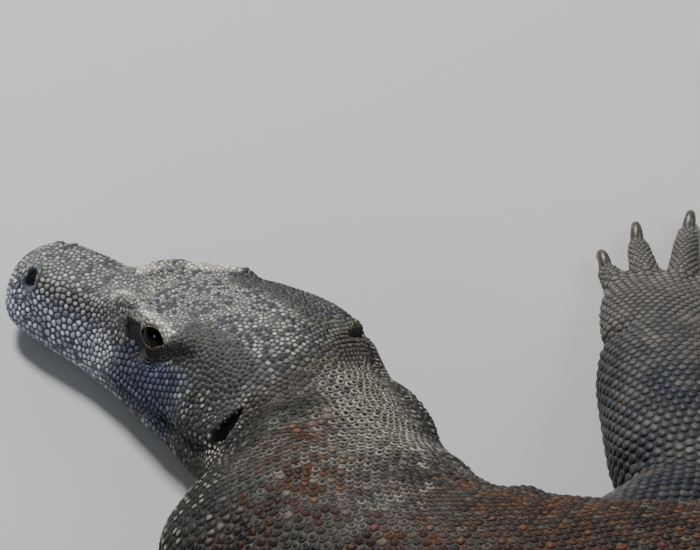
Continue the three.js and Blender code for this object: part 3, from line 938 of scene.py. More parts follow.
def leg_rows():
    """Staggered rings of scales along each length of the legs; U is a strip of its own for each."""
    strips = {"upper": (0.02, 0.3), "lower": (0.32, 0.6), "palm": (0.62, 0.68)}
    for i in range(len(TOES)):
        strips[f"toe_{i + 1}"] = (0.70 + 0.06 * i, 0.75 + 0.06 * i)
    fine = np.linspace(0, ROUND, 181)
    rows = []
    for leg, part, line, girths in LIMBS:
        start, end = strips[part]
        reach = 14 if part in ("upper", "lower") else 4
        u, row = 0.01, 0
        while u < 1:
            size = LEG_SCALE[part] if part in LEG_SCALE else TOE_SCALE * (1 - 0.22 * u)
            arc = run_of(limb_point(line, girths, u, fine, -COAT_DEPTH))
            angle = np.interp(staggered(arc[-1], max(5, round(arc[-1] / size)), row), arc, fine)
            points = limb_point(line, girths, u, angle, -COAT_DEPTH)
            ahead = unit(limb_point(line, girths, u, angle + 0.02) - points)
            rows.append(rooted(points, ahead, size, 0.16, start + (end - start) * u, angle,
                               LEG_KIND[leg], reach))
            u += STAGGER * size / run_of(line)[-1]
            row += 1
    return rows


def scattered(known, count):
    """Seeds all over the skin, to fill what the rows leave open. Each takes after the nearest known one."""
    corners = skin_points[np.array([f[:3] for f in skin_faces])]
    fourth = skin_points[np.array([f[-1] for f in skin_faces])]
    area = np.linalg.norm(np.cross(corners[:, 1] - corners[:, 0], fourth - corners[:, 0]), axis=1)
    middle = corners.mean(axis=1)
    at, right = located(middle)
    outline = spot(at, *section(at, ring_angle(at, right, middle[:, 2]), -1))
    head = (at < HEAD_END) & (np.linalg.norm(middle - outline, axis=1) < 20)
    # Thickest on the face, then on the rest of the head, then on neck and shoulders.
    weight = area * np.where(head, np.where(at < 175, 14, 9), np.where(at < 600, 3.5, 1.0))
    chosen = rng.choice(len(area), count, p=weight / weight.sum())
    a, b = rng.random((2, count, 1))
    past = a + b > 1
    a, b = np.where(past, 1 - a, a), np.where(past, 1 - b, b)
    points = corners[chosen, 0] * (1 - a - b) + corners[chosen, 1] * a + corners[chosen, 2] * b
    rows = known[nearest_of(tree_of(known[:, PLACE]), points)]
    rows[:, PLACE] = points
    at, angle = at[chosen], ring_angle(at[chosen], right[chosen], points[:, 2])
    size = body_pitch(at, below_of(angle)) * np.where(head[chosen], 0.92, 1)
    body = rows[:, KIND] == BODY
    rows[body, SIZE:KIND] = np.c_[size, 0.23 * size][body]
    rows[body, U:FIXED] = np.c_[at, angle / ROUND][body]
    rows[:, FIXED] = 0
    _, rows[:, NORMAL], _ = dropped(points)
    rows[:, ACROSS] -= (rows[:, ACROSS] * rows[:, NORMAL]).sum(axis=1, keepdims=True) * rows[:, NORMAL]
    return rows


def thinned(table, share):
    """Keeps the seeds that no seed before them crowds."""
    tree = tree_of(table[:, PLACE])
    alive = np.ones(len(table), bool)
    radius = table[:, SIZE] * share
    for i, p in enumerate(table[:, PLACE].tolist()):
        if alive[i]:
            for _, j, _ in tree.find_range(p, radius[i]):
                if j > i:
                    alive[j] = False
    return table[alive]


def neighbours(points, count):
    """The numbers of each point's nearest others."""
    tree = tree_of(points)
    found = np.empty((len(points), count), np.int64)
    for i, p in enumerate(points.tolist()):
        found[i] = [hit[1] for hit in tree.find_n(p, count + 1)][1:count + 1]
    return found


def grown(table):
    """The seeds outside eyes, nostrils and ears, and off the lips' parting."""
    at, right = located(table[:, PLACE])
    up, out = table[:, 2], np.abs(right)
    on_head = (table[:, KIND] == BODY) & (at < HEAD_END)
    _, x, y = eye_place(at, out, up)
    ring = lid_ring(x, y)
    lid_end = LID_END + LID_END_FRONT * np.clip(-x / 12, 0, 1)
    bare = (ring < 1.03) | ((ring < 1.3) & (table[:, FIXED] == 0))
    bare |= (ring < lid_end) & (ring > 1.26) & (y < 1.5)
    bare &= out > 14
    bare |= nostril_ring(at, out, up) < 1.12
    bare |= ear_ring(at, right, up) < 1.0
    bare |= (np.abs(up - along(MOUTH, at)) < 1.1) & (at < 172) & (out > 0.35 * along(HALF_WIDTH, at))
    return table[~(on_head & bare)]


def spread(table, rounds):
    """Evens out the seeds' spacing, leaving the fixed ones nearly where they are."""
    for _ in range(rounds):
        near = neighbours(table[:, PLACE], 7)
        away = table[:, None, PLACE] - table[near, PLACE]
        gap = np.linalg.norm(away, axis=2)
        wanted = 1.08 * (table[:, None, SIZE] + table[near, SIZE]) / 2
        push = (np.clip(wanted - gap, 0, None) / wanted)[..., None] * away / np.maximum(gap, 0.01)[..., None]
        move = 0.45 * push.sum(axis=1) * table[:, SIZE:HEIGHT]
        move[table[:, FIXED] > 0] *= 0.12
        table[:, PLACE], table[:, NORMAL], _ = dropped(table[:, PLACE] + move)
    return table


def relief(table):
    """Scales lie flatter on the crown and are worn nearly smooth on the brow."""
    at, right = located(table[:, PLACE])
    up = table[:, 2]
    body = table[:, KIND] == BODY
    crown = body * step(215, 190, at) * step(0.4, 0.25, below_of(ring_angle(at, right, up)))
    brow = body * brow_share(at, np.abs(right), up)
    return RELIEF * (1 - 0.45 * crown) * (1 - 0.6 * brow)


def all_seeds():
    """Every scale's root, the rows that follow a form first, then what fills the gaps."""
    rows = head_rows() + body_rows(470, LENGTH - 2) + leg_rows() + body_rows(1.5, 14) + body_rows(215, 470)
    known = np.vstack(rows)
    table = grown(thinned(np.vstack([known, scattered(known, SCATTERED)]), CROWDED))
    table = spread(table, 6)
    table[:, HEIGHT] *= relief(table)
    return grown(table)


SEEDS = all_seeds()


# ---------------------------------------------------------------- markings and painted shade
def shade(red, green, blue):
    """A colour as the eye reads it, 0 to 255, for the shaders."""
    return (np.array([red, green, blue]) / 255) ** 2.2


def blended(colors, other, share):
    """Colours, each turned by its share towards the other."""
    return colors + (other - colors) * np.reshape(np.asarray(share, float), (-1, 1))


def between(first, second, turn):
    """A colour for each scale, turned by its share from the first to the second."""
    return blended(np.tile(shade(*first), (len(turn), 1)), shade(*second), turn)


def laid(colors, share, first, second=None, turn=None):
    """Colours with another laid over them by its share: the first, or one between two."""
    return blended(colors, shade(*first) if second is None else between(first, second, turn), share)


def leg_closeness(points):
    """1 beside the root of a leg, 0 away from it."""
    nearest = np.full(len(points), 999.0)
    for plan in PLANS.values():
        start, _, end = plan["upper"][0]
        t = np.clip((points - start) @ (end - start) / ((end - start) @ (end - start)), 0.15, 1)
        nearest = np.minimum(nearest, np.linalg.norm(points - (start + t[:, None] * (end - start)), axis=1))
    return step(92, 44, nearest)


# Below, core is the colour of a scale's middle and ring that of its rim. lot holds four chances for each
# scale, and patch and broad are chances that neighbours share.
def trunk_colors(at, below, far, lot, patch, broad):
    """Dark beads in rust and tan skin, duller towards the tail, with pale tan-grey rims on the neck, and
    painted shade on its left side.
    """
    near = 1 - far
    core = between((12, 14, 22), (30, 30, 38), lot[0])
    ring = between((32, 28, 27), (76, 58, 44), lot[3])
    ring = laid(ring, (lot[2] < 0.2) * 0.8, (110, 99, 78))
    neck = window(at, 225, 262, 370, 520)
    rims = between((178, 171, 154), (112, 107, 96), lot[3])
    # Painted shade: rims on the left side are darker, most of all close behind the head, and fewer of them
    # are pale.
    rims = laid(rims, near * (0.5 + 0.5 * step(330, 260, at)), (92, 86, 74), (32, 30, 29), lot[3])
    rims = laid(rims, far * step(320, 380, at), (96, 88, 74), (38, 36, 34), lot[3])
    rims = laid(rims, (lot[1] > 0.84) * (1 - 0.5 * near), (168, 162, 144))
    ring = blended(ring, rims, neck)
    core = laid(core, neck * 0.9, (11, 15, 26), (27, 31, 42), lot[0])
    core = laid(core, neck * (lot[2] > 0.93) * 0.7, (112, 108, 96))

    rust = step(0.47, 0.6, 0.45 * broad + 0.55 * patch) * window(at, 278, 300, 1000, 1500)
    rust = rust * (1 - far * step(430, 380, at)) * (0.15 + 0.85 * (lot[1] > 0.45))
    rust = np.maximum(rust, 0.75 * (lot[1] > 0.6) * window(at, 400, 460, 700, 1100))
    ring = laid(ring, rust, (122, 74, 44), (66, 44, 34), lot[3])
    core = laid(core, rust * (lot[2] > 0.88) * 0.6, (112, 64, 38))

    # Painted shade: the left side of neck and shoulder is darker, and so is the fold behind the ear.
    dim = near * step(0.05, 0.4, below) * window(at, 225, 262, 420, 600)
    dim = np.maximum(dim, 0.7 * window(at, 248, 262, 268, 286) * near)
    core, ring = core * (1 - 0.4 * dim)[:, None], ring * (1 - 0.6 * dim)[:, None]
    # Small cream beads on dark skin low on the neck.
    low = step(0.36, 0.5, below - 0.12 * far) * window(at, 200, 226, 335, 372) * 0.9
    core = laid(core, low, (140, 137, 120), (44, 43, 42), lot[0] > 0.42)
    ring = laid(ring, low, (34, 33, 34), (58, 54, 50), lot[3])
    ring = laid(ring, step(900, 1500, at) * 0.7, (80, 75, 68))
    # The belly is paler.
    under = step(1.3, 1.6, below) * step(300, 420, at) * 0.6
    return laid(core, under, (112, 104, 88)), laid(ring, under, (140, 126, 100))


def leg_colors(strip, lot, patch, broad):
    """Charcoal blue, dusty towards the toes."""
    core = between((38, 45, 61), (22, 26, 37), lot[0])
    core = laid(core, lot[2] * 0.5, (64, 69, 81))
    ring = between((38, 37, 42), (66, 62, 58), lot[1])
    dust = step(0.5, 0.8, 0.6 * broad + 0.4 * patch) * 0.4 + step(0.56, 0.68, strip) * 0.8
    dust = np.clip(dust, 0, 1)
    return laid(core, dust * 0.6, (132, 126, 116)), laid(ring, dust * 0.85, (120, 112, 98))


def snout_and_crown(at, out, up, below, lot, patch):
    """Beige crown with dark specks; blue-grey snout with bright lips and a dark patch on its side."""
    dark = step(0.56, 0.66, 0.4 * patch + 0.6 * lot[1])
    core = between((172, 170, 160), (118, 120, 121), lot[0])
    core = laid(core, (lot[2] > 0.82) * 0.7, (208, 205, 193))
    core = laid(core, dark, (42, 49, 65))
    ring = laid(between((150, 146, 134), (108, 106, 103), lot[3]), 0.5 * dark, (84, 84, 86))

    pale = step(0.5, 0.62, 0.65 * patch + 0.35 * lot[2])
    pale = np.clip(pale + line_share(at, out, up, (38, 27, 50), (46, 27, 52), 6), 0, 1)
    beads = between((98, 107, 128), (50, 54, 68), lot[0])
    beads = laid(beads, lot[3] > 0.6, (124, 127, 132))
    beads = laid(beads, pale * 0.85, (196, 195, 184))
    rims = between((140, 140, 136), (50, 51, 58), lot[1])
    side = step(108, 84, at) * (0.35 + 0.65 * step(0.26, 0.46, below))
    side = np.maximum(side, step(0.42, 0.56, below))
    core, ring = blended(core, beads, side), blended(ring, rims, side)

    smudge = line_share(at, out, up, (56, 33, 46), (84, 33, 54), 10) * (0.5 + 0.5 * (lot[2] < 0.7))
    core = laid(core, 0.85 * smudge, (44, 49, 62), (70, 74, 86), lot[0])
    ring = laid(ring, 0.7 * smudge, (66, 66, 70))
    lips = step(50, 40, up) * step(112, 88, at) * step(0.36, 0.52, below)
    core = laid(core, 0.92 * lips, (216, 221, 230), (134, 142, 160), lot[0])
    core = laid(core, lips * (lot[1] > 0.88), (62, 68, 84))
    core = laid(core, lips * (lot[2] > 0.84), (224, 224, 218))
    ring = laid(ring, 0.8 * lips, (138, 142, 154))
    return core, ring, 0.25 + side * (0.55 * lot[1] - 0.15)


def face_sides(core, ring, bead, at, out, up, below, lot):
    """Beaded temple, indigo cheek, flecked jaw, painted shade in the folds and under the jaw, and a throat
    that is darker, partly in painted shade.
    """
    temple = window(at, 140, 152, 205, 236) * window(below, 0.14, 0.24, 0.5, 0.62)
    core = laid(core, temple * (0.85 + 0.15 * lot[1]), (16, 24, 42), (34, 41, 58), lot[0])
    ring = laid(ring, temple, (136, 130, 119), (90, 87, 82), lot[3])
    bead = bead + (0.2 - bead) * temple

    cheek = window(at, 100, 112, 158, 178) * window(below, 0.52, 0.6, 0.96, 1.12)
    core = blended(core, laid(between((92, 98, 122), (58, 62, 82), lot[0]), (lot[1] > 0.9) * 0.5,
                              (104, 110, 128)), cheek)
    ring = laid(ring, cheek, (26, 27, 42))
    bead = bead * (1 - cheek)
    # Pale flecks where the cheek meets the jaw muscle.
    fleck = line_share(at, out, up, (160, 50, 64), (178, 62, 56), 8) * (0.1 + 0.6 * (lot[2] > 0.66))
    core, ring = laid(core, fleck, (128, 136, 148)), laid(ring, fleck, (84, 86, 90))

    jaw = window(at, 162, 180, 226, 246) * window(below, 0.46, 0.58, 1.0, 1.2) * (1 - fleck)
    core = laid(core, jaw * 0.9, (50, 50, 55), (136, 132, 118), lot[2] > 0.76)
    ring = laid(ring, jaw * 0.9, (92, 87, 78), (54, 50, 48), lot[1])
    bead = bead + (0.6 - bead) * jaw

    # Painted shade along the fold below the jaw muscle.
    crease_shade = line_share(at, out, up, (156, 64, 33), (195, 75, 41), 5.5)
    crease_shade = 0.75 * np.maximum(crease_shade, line_share(at, out, up, (195, 75, 41), (218, 70, 52), 5))
    core, ring = laid(core, crease_shade, (30, 31, 40)), laid(ring, crease_shade, (20, 20, 24))
    # Painted shade: the lower side of the jaw is darker. The throat is darker too, partly in its own colour
    # and partly in painted shade of the underside.
    light = (1 - 0.4 * step(0.62, 0.9, below) * step(150, 190, at))[:, None]
    throat = step(1.1, 1.3, below) * step(90, 140, at) + step(0.8, 0.9, below) * step(196, 214, at)
    throat = 0.85 * np.clip(throat, 0, 1)
    core = laid(core * light, throat, (96, 93, 86), (40, 40, 44), lot[0])
    return core, laid(ring * light, throat, (26, 26, 28)), bead


def round_openings(core, ring, bead, at, out, up, lot):
    """Fine rows round the ear, bare lids, cream brow, and the rims of eye and nostril, with painted shade in
    the ear's opening and round the eye.
    """
    ear = np.where(out < 35, FAR_RING, ear_ring(at, 70.0, up))
    rows = step(2.5, 2.1, ear)
    core = laid(core, 0.85 * rows, (166, 158, 134), (110, 104, 90), lot[0])
    core = laid(core, rows * step(60, 56, up), (214, 206, 182))
    ring = laid(ring, 0.8 * rows, (56, 50, 44))
    # Painted shade inside the ear's opening.
    ear_opening_shade = step(1.05, 0.9, ear)
    core, ring = laid(core, ear_opening_shade, (14, 12, 12)), laid(ring, ear_opening_shade, (14, 12, 12))

    _, x, y = eye_place(at, out, up)
    # The bare lower lid is dark in its own colour; the same darkening over the socket under the brow, the
    # hollow before the eye and the fold behind it is painted shade.
    socket = lid_ring(x, y) * np.where(y > 0, 1.5, 1)
    lid = np.clip(step(2.95, 2.5, socket) + line_share(at, out, up, (108, 33, 64), (118, 43, 54), 8), 0, 1)
    lid = np.maximum(lid, step(0.3, 0.5, line_share(at, out, up, (146, 43, 70), (162, 42, 76), 5)))
    core = laid(core, lid * 0.92, (60, 56, 60), (40, 38, 44), lot[0])
    ring = laid(ring, lid * 0.92, (84, 78, 82), (66, 62, 68), lot[3])

    brow = brow_share(at, out, up)
    cream = laid(between((226, 219, 202), (204, 203, 190), lot[3]), lot[0] > 0.9, (80, 82, 92))
    core, ring = blended(core, cream, brow), laid(ring, brow, (204, 196, 178))

    edge = np.clip(step(2, -3, y) * step(-7, -1, x) + step(3, 5, y), 0.15, 1)
    edge = step(1.3, 1.2, lid_ring(x, y)) * edge
    core = laid(core, edge, (186, 176, 146), (128, 96, 60), (lot[2] > 0.5) * step(2, 7, x))
    ring = laid(ring, edge, (104, 88, 66))
    rim = step(1.9, 1.6, nostril_ring(at, out, up))
    core = laid(core, rim, (92, 104, 124), (150, 154, 150), lot[0] * 0.8)
    return core, laid(ring, rim * 0.7, (120, 128, 140)), np.clip(bead * (1 - brow), 0, 1)


def head_colors(at, out, up, below, lot, patch):
    """The head's colours, and how much each scale is a bead."""
    core, ring, bead = snout_and_crown(at, out, up, below, lot, patch)
    core, ring, bead = face_sides(core, ring, bead, at, out, up, below, lot)
    return round_openings(core, ring, bead, at, out, up, lot)


def markings_and_painted_shade(table):
    """For each scale its middle's colour, its rim's, and how much it is a bead, from its place, with painted
    shade in places.
    """
    points = table[:, PLACE]
    count = len(table)
    at, right = located(points)
    below = below_of(ring_angle(at, right, points[:, 2]))
    body = table[:, KIND] == BODY
    lot = rng.random((4, count))
    patch = noise(points, 9, 1) * 0.6 + noise(points, 4, 2) * 0.4
    broad = noise(points, 38, 3)

    far = step(-0.08, 0.25, below * np.sign(right))
    core, ring = trunk_colors(np.where(body, at, 800), below, far, lot, patch, broad)
    head_core, head_ring, head_bead = head_colors(at, np.abs(right), points[:, 2], below, lot, patch)
    head = step(244, 208, at) * body
    core, ring = blended(core, head_core, head), blended(ring, head_ring, head)
    bead = 0.8 + (head_bead - 0.8) * head
    leg_core, leg_ring = leg_colors(np.where(body, 0, table[:, U]), lot, patch, broad)
    leg = np.where(body, 0.7 * leg_closeness(points), 0.3 + 0.7 * step(0.04, 0.2, table[:, U]))
    core, ring = blended(core, leg_core, leg), blended(ring, leg_ring, leg)
    light = rng.random((2, count, 1))
    return (np.clip(core * (0.68 + 0.64 * light[0]), 0, 1), np.clip(ring * (0.78 + 0.44 * light[1]), 0, 1),
            bead + (0.35 - bead) * leg)


# ---------------------------------------------------------------- the coat
SIDES = 8
BELLY_GAP = 0.02  # the scales' own clearance over the floor
UV_PATCH = 0.0015  # half breadth of a scale's patch in its UV map
UV_EDGE = 0.01
# Rings of a scale: share of its reach, height, and how much lower that is in a beaded scale.
FINE = [(0.96, -0.3, 0), (0.84, 0.5, 0.2), (0.48, 0.92, 0.26)]
PLAIN = [(0.96, -0.3, 0), (0.72, 0.72, 0.2)]
SPOKES = ROUND * np.arange(SIDES) / SIDES


def cells(table):
    """The scales' own directions, and how far each reaches before it meets its neighbours."""
    points, normal, across = table[:, PLACE], table[:, NORMAL], table[:, ACROSS]
    across = unit(across - (across * normal).sum(axis=1, keepdims=True) * normal)
    upward = np.cross(normal, across)
    near = neighbours(points, 10)
    away = points[near] - points[:, None]
    flat_x = (away * across[:, None]).sum(axis=2)
    flat_y = (away * upward[:, None]).sum(axis=2)
    size = table[:, SIZE]
    weight = (size[:, None] ** 2 - size[near] ** 2) * 0.12
    reach = np.empty((len(table), SIDES))
    for k, turn in enumerate(SPOKES):
        ahead = flat_x * math.cos(turn) + flat_y * math.sin(turn)
        square = flat_x**2 + flat_y**2 + weight
        bound = np.where(ahead > 0.05, square / np.maximum(2 * ahead, 0.1), 99)
        reach[:, k] = np.minimum(bound.min(axis=1), 0.82 * size)
    return across, upward, np.maximum(reach, 0.25 * size[:, None])


def dome_points(table, bead, place, levels):
    """Rings of points round each root, from the skin up to a rounded top: scales, points, 3."""
    across, upward, reach = place
    points, normal, height = table[:, PLACE], table[:, NORMAL], table[:, HEIGHT]
    spokes = (across[:, None] * np.cos(SPOKES)[None, :, None]
              + upward[:, None] * np.sin(SPOKES)[None, :, None])
    foot = levels[0][0]
    edge = points[:, None] + spokes * (reach * foot)[..., None]
    edge = dropped(edge.reshape(-1, 3))[0].reshape(len(table), SIDES, 3)
    rings = [points[:, None] + (edge - points[:, None]) * (share / foot)
             + normal[:, None] * ((lift - sink * bead) * height)[:, None, None]
             for share, lift, sink in levels]
    top = points + normal * height[:, None]
    domes = np.concatenate(rings + [top[:, None]], axis=1)
    domes[..., 2] = np.maximum(domes[..., 2], BELLY_GAP)
    return domes


def dome_faces(levels):
    """The triangles of one scale, open underneath, where the skin closes it."""
    faces = []
    for row in range(len(levels) - 1):
        for k in range(SIDES):
            n = (k + 1) % SIDES
            a, b, c, d = row * SIDES + k, row * SIDES + n, (row + 1) * SIDES + n, (row + 1) * SIDES + k
            faces += [(a, b, c), (a, c, d)]
    last = (len(levels) - 1) * SIDES
    top = last + SIDES
    return np.array(faces + [(last + k, last + (k + 1) % SIDES, top) for k in range(SIDES)])


def triangle_mesh(name, points, corner):
    """A smooth mesh of triangles, given the points of their corners one after the other."""
    mesh = bpy.data.meshes.new(name)
    mesh.vertices.add(len(points))
    mesh.vertices.foreach_set("co", (points * MM).astype(np.float32).ravel())
    mesh.loops.add(len(corner))
    mesh.loops.foreach_set("vertex_index", corner.astype(np.int32))
    mesh.polygons.add(len(corner) // 3)
    mesh.polygons.foreach_set("loop_start", np.arange(0, len(corner), 3, dtype=np.int32))
    shade_smooth(mesh)
    mesh.update(calc_edges=True)
    return mesh


LOOK = markings_and_painted_shade(SEEDS)
CELLS = cells(SEEDS)


def coat_piece(name, mask, levels, material, start=0.0, end=1.0):
    """Solid scales, each a patch of the UV map at its root's place in the unwrap of the skin."""
    table = SEEDS[mask]
    core, ring, bead = (part[mask] for part in LOOK)
    domes = dome_points(table, bead, [part[mask] for part in CELLS], levels)
    count, per = domes.shape[:2]
    corner = (np.arange(count)[:, None, None] * per + dome_faces(levels)).ravel()
    mesh = triangle_mesh(name, domes.reshape(-1, 3), corner)
    shares = [share for share, _, _ in levels]
    patch = np.concatenate([np.stack([share * np.cos(SPOKES), share * np.sin(SPOKES)], axis=1)
                            for share in shares] + [np.zeros((1, 2))])
    u = np.clip((table[:, U] - start) / (end - start), 0, 1)
    v = (table[:, V] + 0.25) % 1.0
    uv = UV_EDGE + (1 - 2 * UV_EDGE) * np.stack([u, v], axis=1)[:, None] + UV_PATCH * patch
    layer = mesh.uv_layers.new(name="OFBake")
    layer.data.foreach_set("uv", uv.reshape(-1, 2)[corner].astype(np.float32).ravel())
    rim = np.r_[np.repeat(np.array(shares) / shares[0], SIDES), 0.0]
    set_values(mesh, "rim", np.tile(rim, count))
    set_values(mesh, "bead", np.repeat(bead, per))
    set_values(mesh, "core", np.repeat(core, per, axis=0))
    set_values(mesh, "ring", np.repeat(ring, per, axis=0))
    mesh.materials.append(material)
    made = in_scene(name, mesh)
    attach(made, "root")


# ---------------------------------------------------------------- materials
class Nodes:
    """Short ways of building a material's nodes."""

    def __init__(self, name):
        self.material = bpy.data.materials.new(name)
        self.material.use_nodes = True
        self.tree = self.material.node_tree
        self.shader = self.tree.nodes["Principled BSDF"].inputs

    def feed(self, target, value):
        """Gives a socket another node's output, a colour or a number."""
        if hasattr(value, "is_output"):
            self.tree.links.new(value, target)
        elif hasattr(value, "__len__"):
            target.default_value = (*value, 1)
        else:
            target.default_value = value

    def add(self, kind, fed=(), **settings):
        made = self.tree.nodes.new(kind)
        for key, value in settings.items():
            setattr(made, key, value)
        for key, value in fed:
            self.feed(made.inputs[key], value)
        return made

    def attribute(self, name, output="Color"):
        return self.add("ShaderNodeAttribute", attribute_name=name).outputs[output]

    def noise(self, scale, detail):
        made = self.add("ShaderNodeTexNoise", (("Scale", scale), ("Detail", detail)))
        place = self.add("ShaderNodeTexCoord").outputs["Object"]
        self.tree.links.new(place, made.inputs["Vector"])
        return made.outputs["Fac"]

    def span(self, value, low, high, to_low=0.0, to_high=1.0):
        fed = (("Value", value), ("From Min", low), ("From Max", high), ("To Min", to_low),
               ("To Max", to_high))
        return self.add("ShaderNodeMapRange", fed, interpolation_type="SMOOTHSTEP").outputs["Result"]

    def mix(self, share, first, second, blend="MIX"):
        fed = ((0, share), (6, first), (7, second))
        return self.add("ShaderNodeMix", fed, data_type="RGBA", blend_type=blend).outputs[2]

    def times(self, color, factor):
        return self.mix(1.0, color, factor, "MULTIPLY")

    def bump(self, height, strength, distance):
        fed = (("Strength", strength), ("Distance", distance), ("Height", height))
        self.feed(self.shader["Normal"], self.add("ShaderNodeBump", fed).outputs["Normal"])


def scale_material(name, groove_shade, core_rough, ring_rough, grimy, gloss):
    """A scale: its middle, the paler ring round it and the dark groove at its foot, partly painted shade,
    with grime and fine wrinkles.
    """
    m = Nodes(name)
    ring = m.attribute("ring")
    rim, bead = m.attribute("rim", "Fac"), m.attribute("bead", "Fac")
    to_ring = m.span(rim, m.span(bead, 0, 1, 0.62, 0.42), m.span(bead, 0, 1, 0.9, 0.6))
    color = m.mix(to_ring, m.attribute("core"), ring)
    # The groove at each scale's foot darkens its colour: partly the darker skin between scales, partly
    # painted shade.
    color = m.mix(m.span(rim, 0.8, 0.97), color, m.times(ring, groove_shade))
    worn = m.times(color, (0.42, 0.4, 0.4))
    color = m.mix(m.span(m.noise(900, 3), 0.35, 0.72, 0.0, 0.55), color, worn)
    chalk = shade(166, 160, 148)
    chalky = m.mix(to_ring, m.mix(0.12, color, chalk), chalk)
    color = m.mix(m.span(m.noise(1700, 2), 0.56, 0.74, 0.0, 0.24), color, chalky)
    color = m.mix(m.span(m.noise(42, 4), 0.46, 0.72, 0.0, grimy), color, shade(142, 130, 112))
    m.feed(m.shader["Base Color"], color)
    m.feed(m.shader["Roughness"], m.span(to_ring, 0, 1, core_rough, ring_rough))
    m.feed(m.shader["Specular IOR Level"], gloss)
    m.bump(m.noise(2200, 3), 0.5, 0.0005)
    return m.material


def skin_material():
    """The dark skin that shows between the scales."""
    m = Nodes("skin_between_scales")
    ring = m.attribute("ring")
    color = m.mix(0.8, ring, m.times(ring, (0.2, 0.18, 0.18)))
    color = m.mix(m.span(m.noise(700, 3), 0.35, 0.7, 0.0, 0.4), color, shade(30, 27, 27))
    m.feed(m.shader["Base Color"], color)
    m.feed(m.shader["Roughness"], 0.75)
    m.bump(m.noise(1500, 4), 0.6, 0.0006)
    return m.material


def eye_material():
    """A painted eyeball under a clear wet surface."""
    m = Nodes("wet_eye")
    m.feed(m.shader["Base Color"], m.attribute("core"))
    m.feed(m.shader["Roughness"], 0.06)
    m.feed(m.shader["Specular IOR Level"], 0.12)
    return m.material


def claw_material():
    """Dark horn, paler in worn streaks."""
    m = Nodes("claw_horn")
    grain = m.noise(420, 3)
    color = m.mix(m.span(grain, 0.3, 0.7), shade(52, 46, 42), shade(86, 76, 64))
    color = m.mix(m.span(m.noise(110, 3), 0.5, 0.75, 0.0, 0.6), color, shade(132, 120, 100))
    m.feed(m.shader["Base Color"], color)
    m.feed(m.shader["Roughness"], 0.42)
    m.bump(grain, 0.25, 0.0003)
    return m.material


def floor_material():
    """The plain grey floor that the model is shown on."""
    m = Nodes("floor_paint")
    m.feed(m.shader["Base Color"], (0.5, 0.49, 0.47))
    m.feed(m.shader["Roughness"], 0.9)
    return m.material


# ---------------------------------------------------------------- the pieces of the coat
# The first colour of each darkens the grooves at the scales' feet, partly as painted shade.
SCALE_HEAD = scale_material("head_scales", (0.36, 0.35, 0.35), 0.5, 0.7, 0.14, 0.22)
SCALE_BODY = scale_material("body_scales", (0.14, 0.13, 0.12), 0.32, 0.6, 0.08, 0.14)
SCALE_LIMB = scale_material("limb_scales", (0.2, 0.2, 0.2), 0.4, 0.6, 0.24, 0.24)
# Along the body: name, slot, start and end, rings of a scale, material.
CUTS = [
    ("snout", "head_skin", 0, 112, FINE, SCALE_HEAD),
    ("face", "head_skin", 112, 186, FINE, SCALE_HEAD),
    ("nape", "head_skin", 186, 262, FINE, SCALE_HEAD),
    ("neck", "body_skin", 262, 345, FINE, SCALE_BODY),
    ("neck_root", "body_skin", 345, 440, FINE, SCALE_BODY),
    ("shoulders", "body_skin", 440, 600, FINE, SCALE_BODY),
    ("trunk_front", "body_skin", 600, 800, PLAIN, SCALE_BODY),
    ("trunk_back", "body_skin", 800, 1010, PLAIN, SCALE_BODY),
    ("hips", "body_skin", 1010, 1200, PLAIN, SCALE_BODY),
    ("tail", "body_skin", 1200, 2500, PLAIN, SCALE_BODY),
]
for name, slot, start, end, levels, material in CUTS:
    inside = (SEEDS[:, KIND] == BODY) & (SEEDS[:, U] >= start) & (SEEDS[:, U] < end)
    coat_piece(f"scales_{name}", inside, levels, material, start, end)
for leg, kind in LEG_KIND.items():
    levels = FINE if leg == "front_right" else PLAIN  # the leg that is stretched out beside the head
    coat_piece(f"scales_{leg}_leg", SEEDS[:, KIND] == kind, levels, SCALE_LIMB)

# The skin has the same markings and painted shade as the scales that grow on it.
skin_table = SEEDS[nearest_of(tree_of(SEEDS[:, PLACE]), skin_points)]
skin_table[:, PLACE] = skin_points
for layer_name, colors in zip(("core", "ring"), markings_and_painted_shade(skin_table)):
    set_values(skin.data, layer_name, colors)
skin.data.materials.append(skin_material())


# ---------------------------------------------------------------- eyes and claws
def fine_loft(name, rings, replaced):
    """A smooth closed piece in place of a coarse solid."""
    made = make_object(name, *loft(rings))
    shade_smooth(made.data)
    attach(made, "root")
    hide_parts(replaced)
    return made


def turned_rings(middle, axis, radius, rows=40, sides=56):
    """A sphere as rings round an axis, closer together towards both of its ends."""
    across = unit(np.cross(axis, (0, 0, 1)))
    over = np.cross(axis, across)
    lift, angle = (part[..., None] for part in grid(np.linspace(0.01, math.pi - 0.01, rows), sides))
    return middle + radius * (np.cos(lift) * axis
                              + np.sin(lift) * (np.cos(angle) * across + np.sin(angle) * over))


PUPIL, IRIS = 0.42, 0.7  # angles from the eye's axis, in radians
WET_EYE = eye_material()
for side_name, side in (("left", -1), ("right", 1)):
    middle = spot(EYE["at"], side * EYE["out"], EYE["up"])
    tip = EYE_MIDDLE + EYE_AXIS * EYE["radius"]
    axis = unit(spot(tip[0], side * tip[1], tip[2]) - middle)
    rings = turned_rings(middle, axis, EYE["radius"])
    eyeball = fine_loft(f"eyeball_{side_name}", rings, f"eye_{side_name}")
    place = coordinates(eyeball.data) - middle
    away = np.arccos(np.clip(place @ axis / EYE["radius"], -1, 1))
    color = between((27, 20, 15), (16, 13, 12), noise(place, 1.1, 21))
    color = laid(color, step(PUPIL + 0.06, PUPIL, away), (6, 6, 8))
    color = laid(color, step(IRIS, IRIS + 0.12, away), (14, 12, 12))
    set_values(eyeball.data, "core", color)
    eyeball.data.materials.append(WET_EYE)

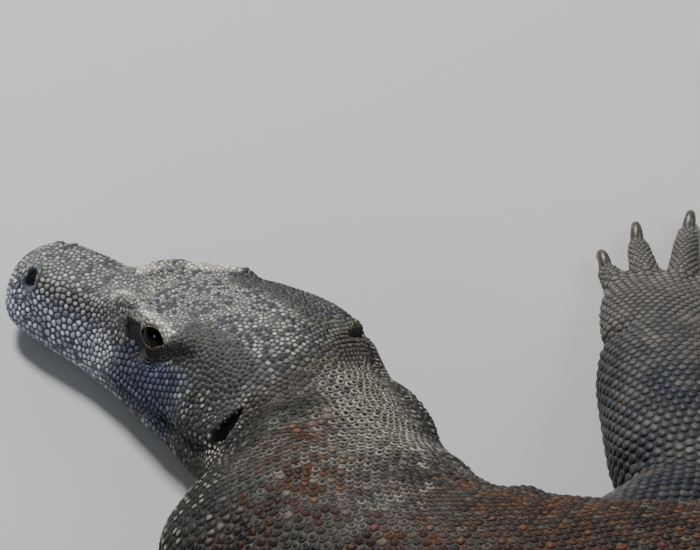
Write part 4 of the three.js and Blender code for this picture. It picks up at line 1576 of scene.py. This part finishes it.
HORN = claw_material()
CLAW_GIRTHS = [(0, CLAW["root"], CLAW["root"] * CLAW["depth"]),
               (0.5, CLAW["middle"], CLAW["middle"] * CLAW["depth"]), (1, CLAW["tip"], CLAW["tip"])]
for leg, plan in PLANS.items():
    for i in range(len(TOES)):
        rings = limb_rings(plan[f"claw_{i + 1}"][0], CLAW_GIRTHS, 1.2, 20, 0)
        rings[..., 2] = np.maximum(rings[..., 2], 0)
        horn = fine_loft(f"horn_{leg}_{i + 1}", rings, f"{leg}_claw_{i + 1}")
        horn.data.materials.append(HORN)


# ---------------------------------------------------------------- floor, light and camera
FLOOR_HALF = 9000
floor = make_object("floor", [(x * FLOOR_HALF, y * FLOOR_HALF, 0)
                              for x, y in ((-1, -1), (1, -1), (1, 1), (-1, 1))], [(0, 1, 2, 3)])
floor.data.materials.append(floor_material())


def aimed(made, place, ahead, lean=0.0):
    """Puts a light or a camera at its place, in metres, looking ahead."""
    made.location = place
    made.rotation_mode = "QUATERNION"
    made.rotation_quaternion = ahead.to_track_quat("-Z", "Y") @ Quaternion((0, 0, 1), lean)


def area_light(name, place, target, size, power, color=(1, 1, 1)):
    light = bpy.data.lights.new(name, "AREA")
    light.size = size
    light.energy = power
    light.color = color
    aimed(in_scene(name, light), place, Vector(target) - Vector(place))


TARGET = Vector((-0.428, 0.441, 0.0))
area_light("key", (-1.6, 2.0, 2.4), TARGET, 0.7, 142, (0.96, 0.98, 1))
area_light("side", (-1.9, -2.2, 1.1), TARGET, 0.9, 22, (0.9, 0.95, 1))
area_light("tail_light", (2.2, 1.0, 2.4), (0.6, 0.2, 0), 1.6, 34)
world = bpy.data.worlds.new("studio")
world.use_nodes = True
world.node_tree.nodes["Background"].inputs["Color"].default_value = (0.7, 0.78, 0.9, 1)
world.node_tree.nodes["Background"].inputs["Strength"].default_value = 0.2
bpy.context.scene.world = world

ELEVATION = math.radians(42)
DISTANCE = 2.6
LEAN = math.radians(5)  # the photograph's right side is a little lower
ahead = Vector((0, math.cos(ELEVATION), -math.sin(ELEVATION)))
lens = bpy.data.cameras.new("camera")
lens.lens = 201
lens.sensor_width = 36
camera = in_scene("camera", lens)
aimed(camera, TARGET - ahead * DISTANCE, ahead, LEAN)
bpy.context.scene.camera = camera
